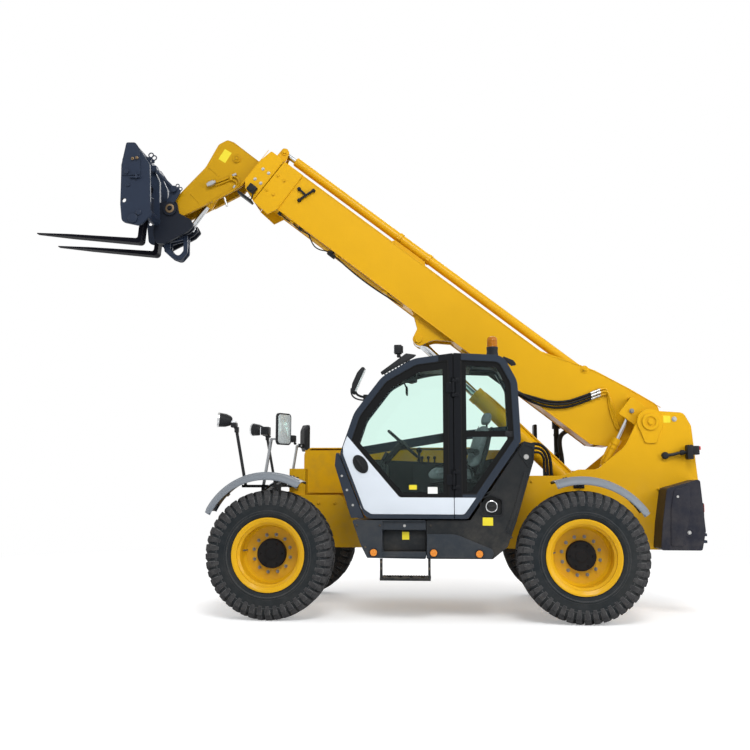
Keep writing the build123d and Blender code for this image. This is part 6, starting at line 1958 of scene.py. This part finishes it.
neck = bmesh.new()
NECK_Y = 0.12
lower_edge = [(5.182, -0.556), (5.355, -0.925), (5.368, -0.922), (5.194, -0.552)]
for side in (1, -1):
    add_plate(neck, lower_edge, side * 0.08, side * (NECK_Y + 0.01), ALONG_BOOM, edge=0.002)
both(neck, add_pipe, [(2.495, NECK_Y, 4.933), (2.44, NECK_Y, 4.885), (2.37, NECK_Y, 4.824)], 0.0035, 8, 2)
both(neck, add_pipe, [(2.703, NECK_Y, 4.622), (2.64, NECK_Y, 4.555), (2.586, NECK_Y, 4.5)], 0.0035, 8, 2)
both(neck, add_pipe, [
    (5.19, NECK_Y, -0.204), (5.4, NECK_Y, -0.2), (5.58, NECK_Y, -0.198), (5.64, NECK_Y, -0.212),
], 0.003, 8, 6, ALONG_BOOM)
TILT_PIN = [(2.159, NECK_Y + 0.0135, 5.026)]
add_knobs(neck, TILT_PIN, [(0, 0.036), (0.006, 0.036), (0.006, 0.028), (0.0, 0.028)], 28, hollow=True)
add_knobs(neck, TILT_PIN, [(0, 0.0), (0, 0.018), (0.01, 0.016), (0.01, 0.0)], 20)
finished("gooseneck_welds_and_flange", neck, head_shaded_yellow, "boom_head")
neck_lines = bmesh.new()
for number in range(2):
    y = NECK_Y + 0.016
    drop = number * 0.034
    add_pipe(neck_lines, [
        (2.4, y, 4.742 - drop), (2.3, y, 4.775 - drop), (2.215, y, 4.812 - drop),
        (2.15 + drop * 0.3, y, 4.8 - drop * 1.5), (2.11 + drop, y, 4.735 - drop * 0.5),
        (2.16 + drop, y, 4.655 - drop * 0.4), (2.29 + drop, y, 4.59 - drop * 0.2),
        (2.43, y, 4.525 - drop * 0.5),
    ], 0.01, 12, 6)
add_block(neck_lines, (2.205, NECK_Y - 0.001, 4.77), (2.235, NECK_Y + 0.03, 4.835), edge=0.004)
finished("gooseneck_pipes", neck_lines, head_shaded_yellow, "boom_head")
valve = bmesh.new()
valve_way = Vector((0.92, 0, -0.39)).normalized()
add_turned(valve, (2.395, NECK_Y + 0.034, 4.748), valve_way, [
    (0, 0.0), (0, 0.02), (0.018, 0.02), (0.02, 0.031), (0.085, 0.031), (0.088, 0.024), (0.105, 0.024),
    (0.108, 0.0),
], 28)
add_rod(valve, (2.2, NECK_Y + 0.016, 4.82), (-0.9, 0, 0.4), 0.016, 0.045, 16)
add_rod(valve, (2.168, NECK_Y + 0.016, 4.7), (0.55, 0, -0.8), 0.016, 0.035, 16)
add_rod(valve, (2.289, NECK_Y + 0.02, 4.56), (-0.3, 0, -0.95), 0.013, 0.11, 16)
finished("auxiliary_couplings", valve, zinc, "boom_head")
label_place = Matrix.Translation((2.3, NECK_Y, 5.065)) @ Matrix.Rotation(math.radians(-32), 4, "Y")
label = [rectangle(-0.048, -0.07, 0.048, 0.07, 0.004)]
notices("gooseneck_blank_plate", plate_yellow, "boom_head", label, -0.0005, 0.0018, label_place)

# ---------------------------------------------------------------- hydraulic cylinders
# Drawn steel barrels painted with the boom, screwed glands with wiper rings, chromed rods,
# and steel feed pipes clamped along each barrel.
dress(boom_yellow, "lift_barrel", "compensation_barrel", "tilt_barrel")
dress(chrome, "lift_rod", "compensation_rod", "tilt_rod")
CYLINDERS = [
    ("lift", (-1.953, 0.0, 0.921), (0.0713, 0.0, 2.8831), 0.088, 1.966, 0.048),
    ("compensation", (-1.842, 0.3, 1.436), (-2.155, 0.3, 2.062), 0.042, 0.375, 0.02),
    ("tilt", (2.159, 0.0, 5.026), (2.71, 0.0, 4.242), 0.058, 0.64, 0.03),
]
for name, base, tip, radius, length, rod in CYLINDERS:
    base = Vector(base)
    way = (Vector(tip) - base).normalized()
    end = base + way * length
    gland = bmesh.new()
    cap = [
        (0, radius - 0.004), (0, radius + 0.005), (0.048, radius + 0.005), (0.053, radius),
        (0.053, rod + 0.012), (0.058, rod + 0.01), (0.06, rod + 0.0015), (0.053, rod + 0.0015),
    ]
    add_turned(gland, end - way * 0.055, way, cap, 40, hollow=True)
    # a weld ring at the foot and two pipe clamps: along, width, and the radius inside and out
    for along, width, inside, outside in (
        (radius * 1.15, 0.02, -0.004, 0.004), (length * 0.28 - 0.012, 0.024, -0.002, 0.0035),
        (length * 0.72 - 0.012, 0.024, -0.002, 0.0035),
    ):
        low, high = radius + inside, radius + outside
        ring = [(0, low), (0, high), (width, high), (width, low)]
        add_turned(gland, base + way * along, way, ring, 40, hollow=True)
    up = Vector((-way.z, 0, way.x))
    if up.z < 0:
        up = -up
    start, stop = base + way * (radius * 1.5), end - way * 0.075
    sunk = up * (radius - 0.01)
    for lane in (up * (radius + 0.012), up * (radius + 0.006) + Vector((0, 0.028, 0))):
        feed = [start + sunk, start + lane, start.lerp(stop, 0.5) + lane, stop + lane, stop + sunk + way * 0.03]
        add_pipe(gland, feed, radius * 0.11 + 0.001, 12, 4)
    finished(name + "_gland_and_pipes", gland, boom_yellow, name + "_cylinder_barrel")

# ---------------------------------------------------------------- fork carriage
# Burned and welded plate in navy paint. The forks are forged bars that hang on the round
# shaft, black, and rubbed to bare steel along their heels and tips.
side_navy = sprayed("carriage navy", (0.021, 0.03, 0.052), 0.4, dust=0.1, coat=0.05)
coupler_dark = sprayed("coupler paint", (0.011, 0.014, 0.022), 0.42, dust=0.1, coat=0.05)
dress(side_navy, "fork_frame")
dress(coupler_dark, "coupler")
fork_black = Finish("fork steel", (0.005, 0.005, 0.008), 0.42, Specular_IOR_Level=0.03)
rub, worn_normal = edge_glow(fork_black, 0.006)
rub = (rub * 3).above(0.1, 0.9)
fork_black.bump(fork_black.noise(90.0, 5.0), 0.15, 0.0015, worn_normal)
scuff = fork_black.noise(22.0, 7.0, 0.7, (0.3, 1, 1)).above(0.56, 0.74)
bare = (rub * 0.4 + scuff * 0.45 * rub) + scuff * 0.06
fork_black.set("Base Color", fork_black.blend(bare, (0.005, 0.005, 0.008), (0.14, 0.14, 0.14)))
fork_black.set("Metallic", bare * 0.8)
fork_black.set("Roughness", 0.42 - bare * 0.1 + fork_black.noise(60.0) * 0.1)
fork_black = fork_black.material
dress(fork_black, "forks")
frame_parts = bmesh.new()
CARRIAGE_Y = 0.455
cheek = rounded([
    (3.338, 5.105, 0.01), (3.25, 5.102, 0.03), (3.186, 5.02, 0.02), (3.172, 4.735, 0.02), (3.385, 4.735, 0.02),
    (3.385, 4.93, 0.01), (3.358, 4.955, 0.02),
])
# x, z, radius and how far each boss stands out of the side plates
CHEEK_BOSSES = [
    (3.325, 4.773, 0.026, 0.03), (3.311, 4.623, 0.02, 0.012), (3.24, 4.235, 0.055, 0.014),
    (3.175, 4.3, 0.03, 0.012),
]
for side in (1, -1):
    add_plate(frame_parts, cheek, side * (CARRIAGE_Y - 0.001), side * (CARRIAGE_Y + 0.012), edge=0.004)
    for x, z, radius, out in CHEEK_BOSSES:
        boss = [(0, 0.0), (0, radius), (out, radius), (out + 0.004, radius * 0.8), (out + 0.004, 0.0)]
        add_turned(frame_parts, (x, side * CARRIAGE_Y, z), (0, side, 0), boss, 28)
    add_block(frame_parts, (3.165, side * 0.452, 4.7), (3.29, side * 0.478, 4.722), edge=0.004)
    add_turned(frame_parts, (3.213, side * 0.476, 4.69), (0, 0, 1), [
        (0, 0.0), (0, 0.014), (0.05, 0.014), (0.056, 0.0),
    ], 16)
for x, z in ((3.13, 5.055), (3.168, 5.088)):
    ring = [(u, 0.15, w) for u, w in circle_spots(x, z, 0.028, 12)]
    add_pipe(frame_parts, [(ring[0][0], 0.154, ring[0][2]), *ring[1:], ring[0]], 0.007, 12, 3)
    add_block(frame_parts, (x - 0.006, 0.14, z - 0.06), (x + 0.03, 0.16, z - 0.022))
add_pipe(frame_parts, [(3.1, 0.2, 4.89), (3.0, 0.2, 4.789), (2.9, 0.2, 4.688), (2.862, 0.2, 4.65)], 0.02, 16, 2)
add_rod(frame_parts, (3.105, 0.165, 4.895), (0, 1, 0), 0.034, 0.065, 24)
add_rod(frame_parts, (2.862, 0.15, 4.65), (0, 1, 0), 0.036, 0.08, 24)
add_plate(frame_parts, rounded([
    (2.835, 4.69, 0.02), (2.79, 4.64, 0.02), (2.83, 4.56, 0.02), (2.868, 4.49, 0.01), (2.96, 4.49, 0.01),
    (2.92, 4.61, 0.03),
]), 0.166, 0.188, edge=0.004)
add_plate(frame_parts, rounded([
    (3.085, 4.95, 0.02), (3.075, 4.86, 0.02), (3.14, 4.86, 0.01), (3.16, 4.95, 0.01),
]), 0.166, 0.188, edge=0.004)
for x, z in ((2.832, 4.7), (2.797, 4.662)):
    ring = [(u, 0.178, w) for u, w in circle_spots(x, z, 0.02, 12)]
    add_pipe(frame_parts, [*ring, ring[0]], 0.006, 12, 3)
hook = rounded([
    (2.736, 4.15, 0.01), (2.733, 3.94, 0.05), (2.815, 3.842, 0.06), (2.912, 3.88, 0.04), (3.005, 3.964, 0.03),
    (3.01, 4.06, 0.01),
], 6)
eye = rounded([
    (2.785, 4.1, 0.01), (2.78, 3.965, 0.04), (2.83, 3.905, 0.04), (2.89, 3.935, 0.03), (2.94, 4.0, 0.03),
    (2.935, 4.065, 0.01),
], 6)
for side in (1, -1):
    add_border(frame_parts, [hook, eye], side * 0.032, side * 0.054)
add_pipe(frame_parts, [
    (2.76, 0.0, 4.11), (2.757, 0.0, 3.95), (2.825, 0.0, 3.872), (2.9, 0.0, 3.912), (2.97, 0.0, 3.985),
    (2.975, 0.0, 4.045),
], 0.022, 16, 8)
add_rod(frame_parts, (2.825, -0.06, 3.885), (0, 1, 0), 0.03, 0.12, 24)
finished("carriage_plates_brace_and_hook", frame_parts, side_navy, "carriage")
carriage_bright = bmesh.new()
collar_ring = [(0, 0.03), (0, 0.052), (0.006, 0.052), (0.008, 0.044), (0.008, 0.03)]
add_knobs(carriage_bright, [(2.913, 0.189, 4.431)], collar_ring, hollow=True)
pin_end = [(0, 0.0), (0, 0.017), (0.016, 0.017), (0.018, 0.01), (0.034, 0.01), (0.036, 0.0)]
add_knobs(carriage_bright, [(x, CARRIAGE_Y + 0.01, z) for x, z in ((3.261, 4.923), (3.212, 4.93))], pin_end, 20)
washer = [(0, 0.0), (0, 0.03), (0.005, 0.03), (0.006, 0.02), (0.008, 0.018), (0.008, 0.0)]
add_knobs(carriage_bright, [(2.71, 0.073, 4.242)], washer, 24)
bronze = plain("worn bronze", (0.2, 0.14, 0.08), (0.3, 0.25, 30.0, 5.0), Metallic=0.8)
finished("carriage_pins", carriage_bright, bronze, "carriage")
bolts("carriage_bolts", side_rows([(2.913, 4.431)], 0.1895, 0.034), coupler_dark, "carriage")
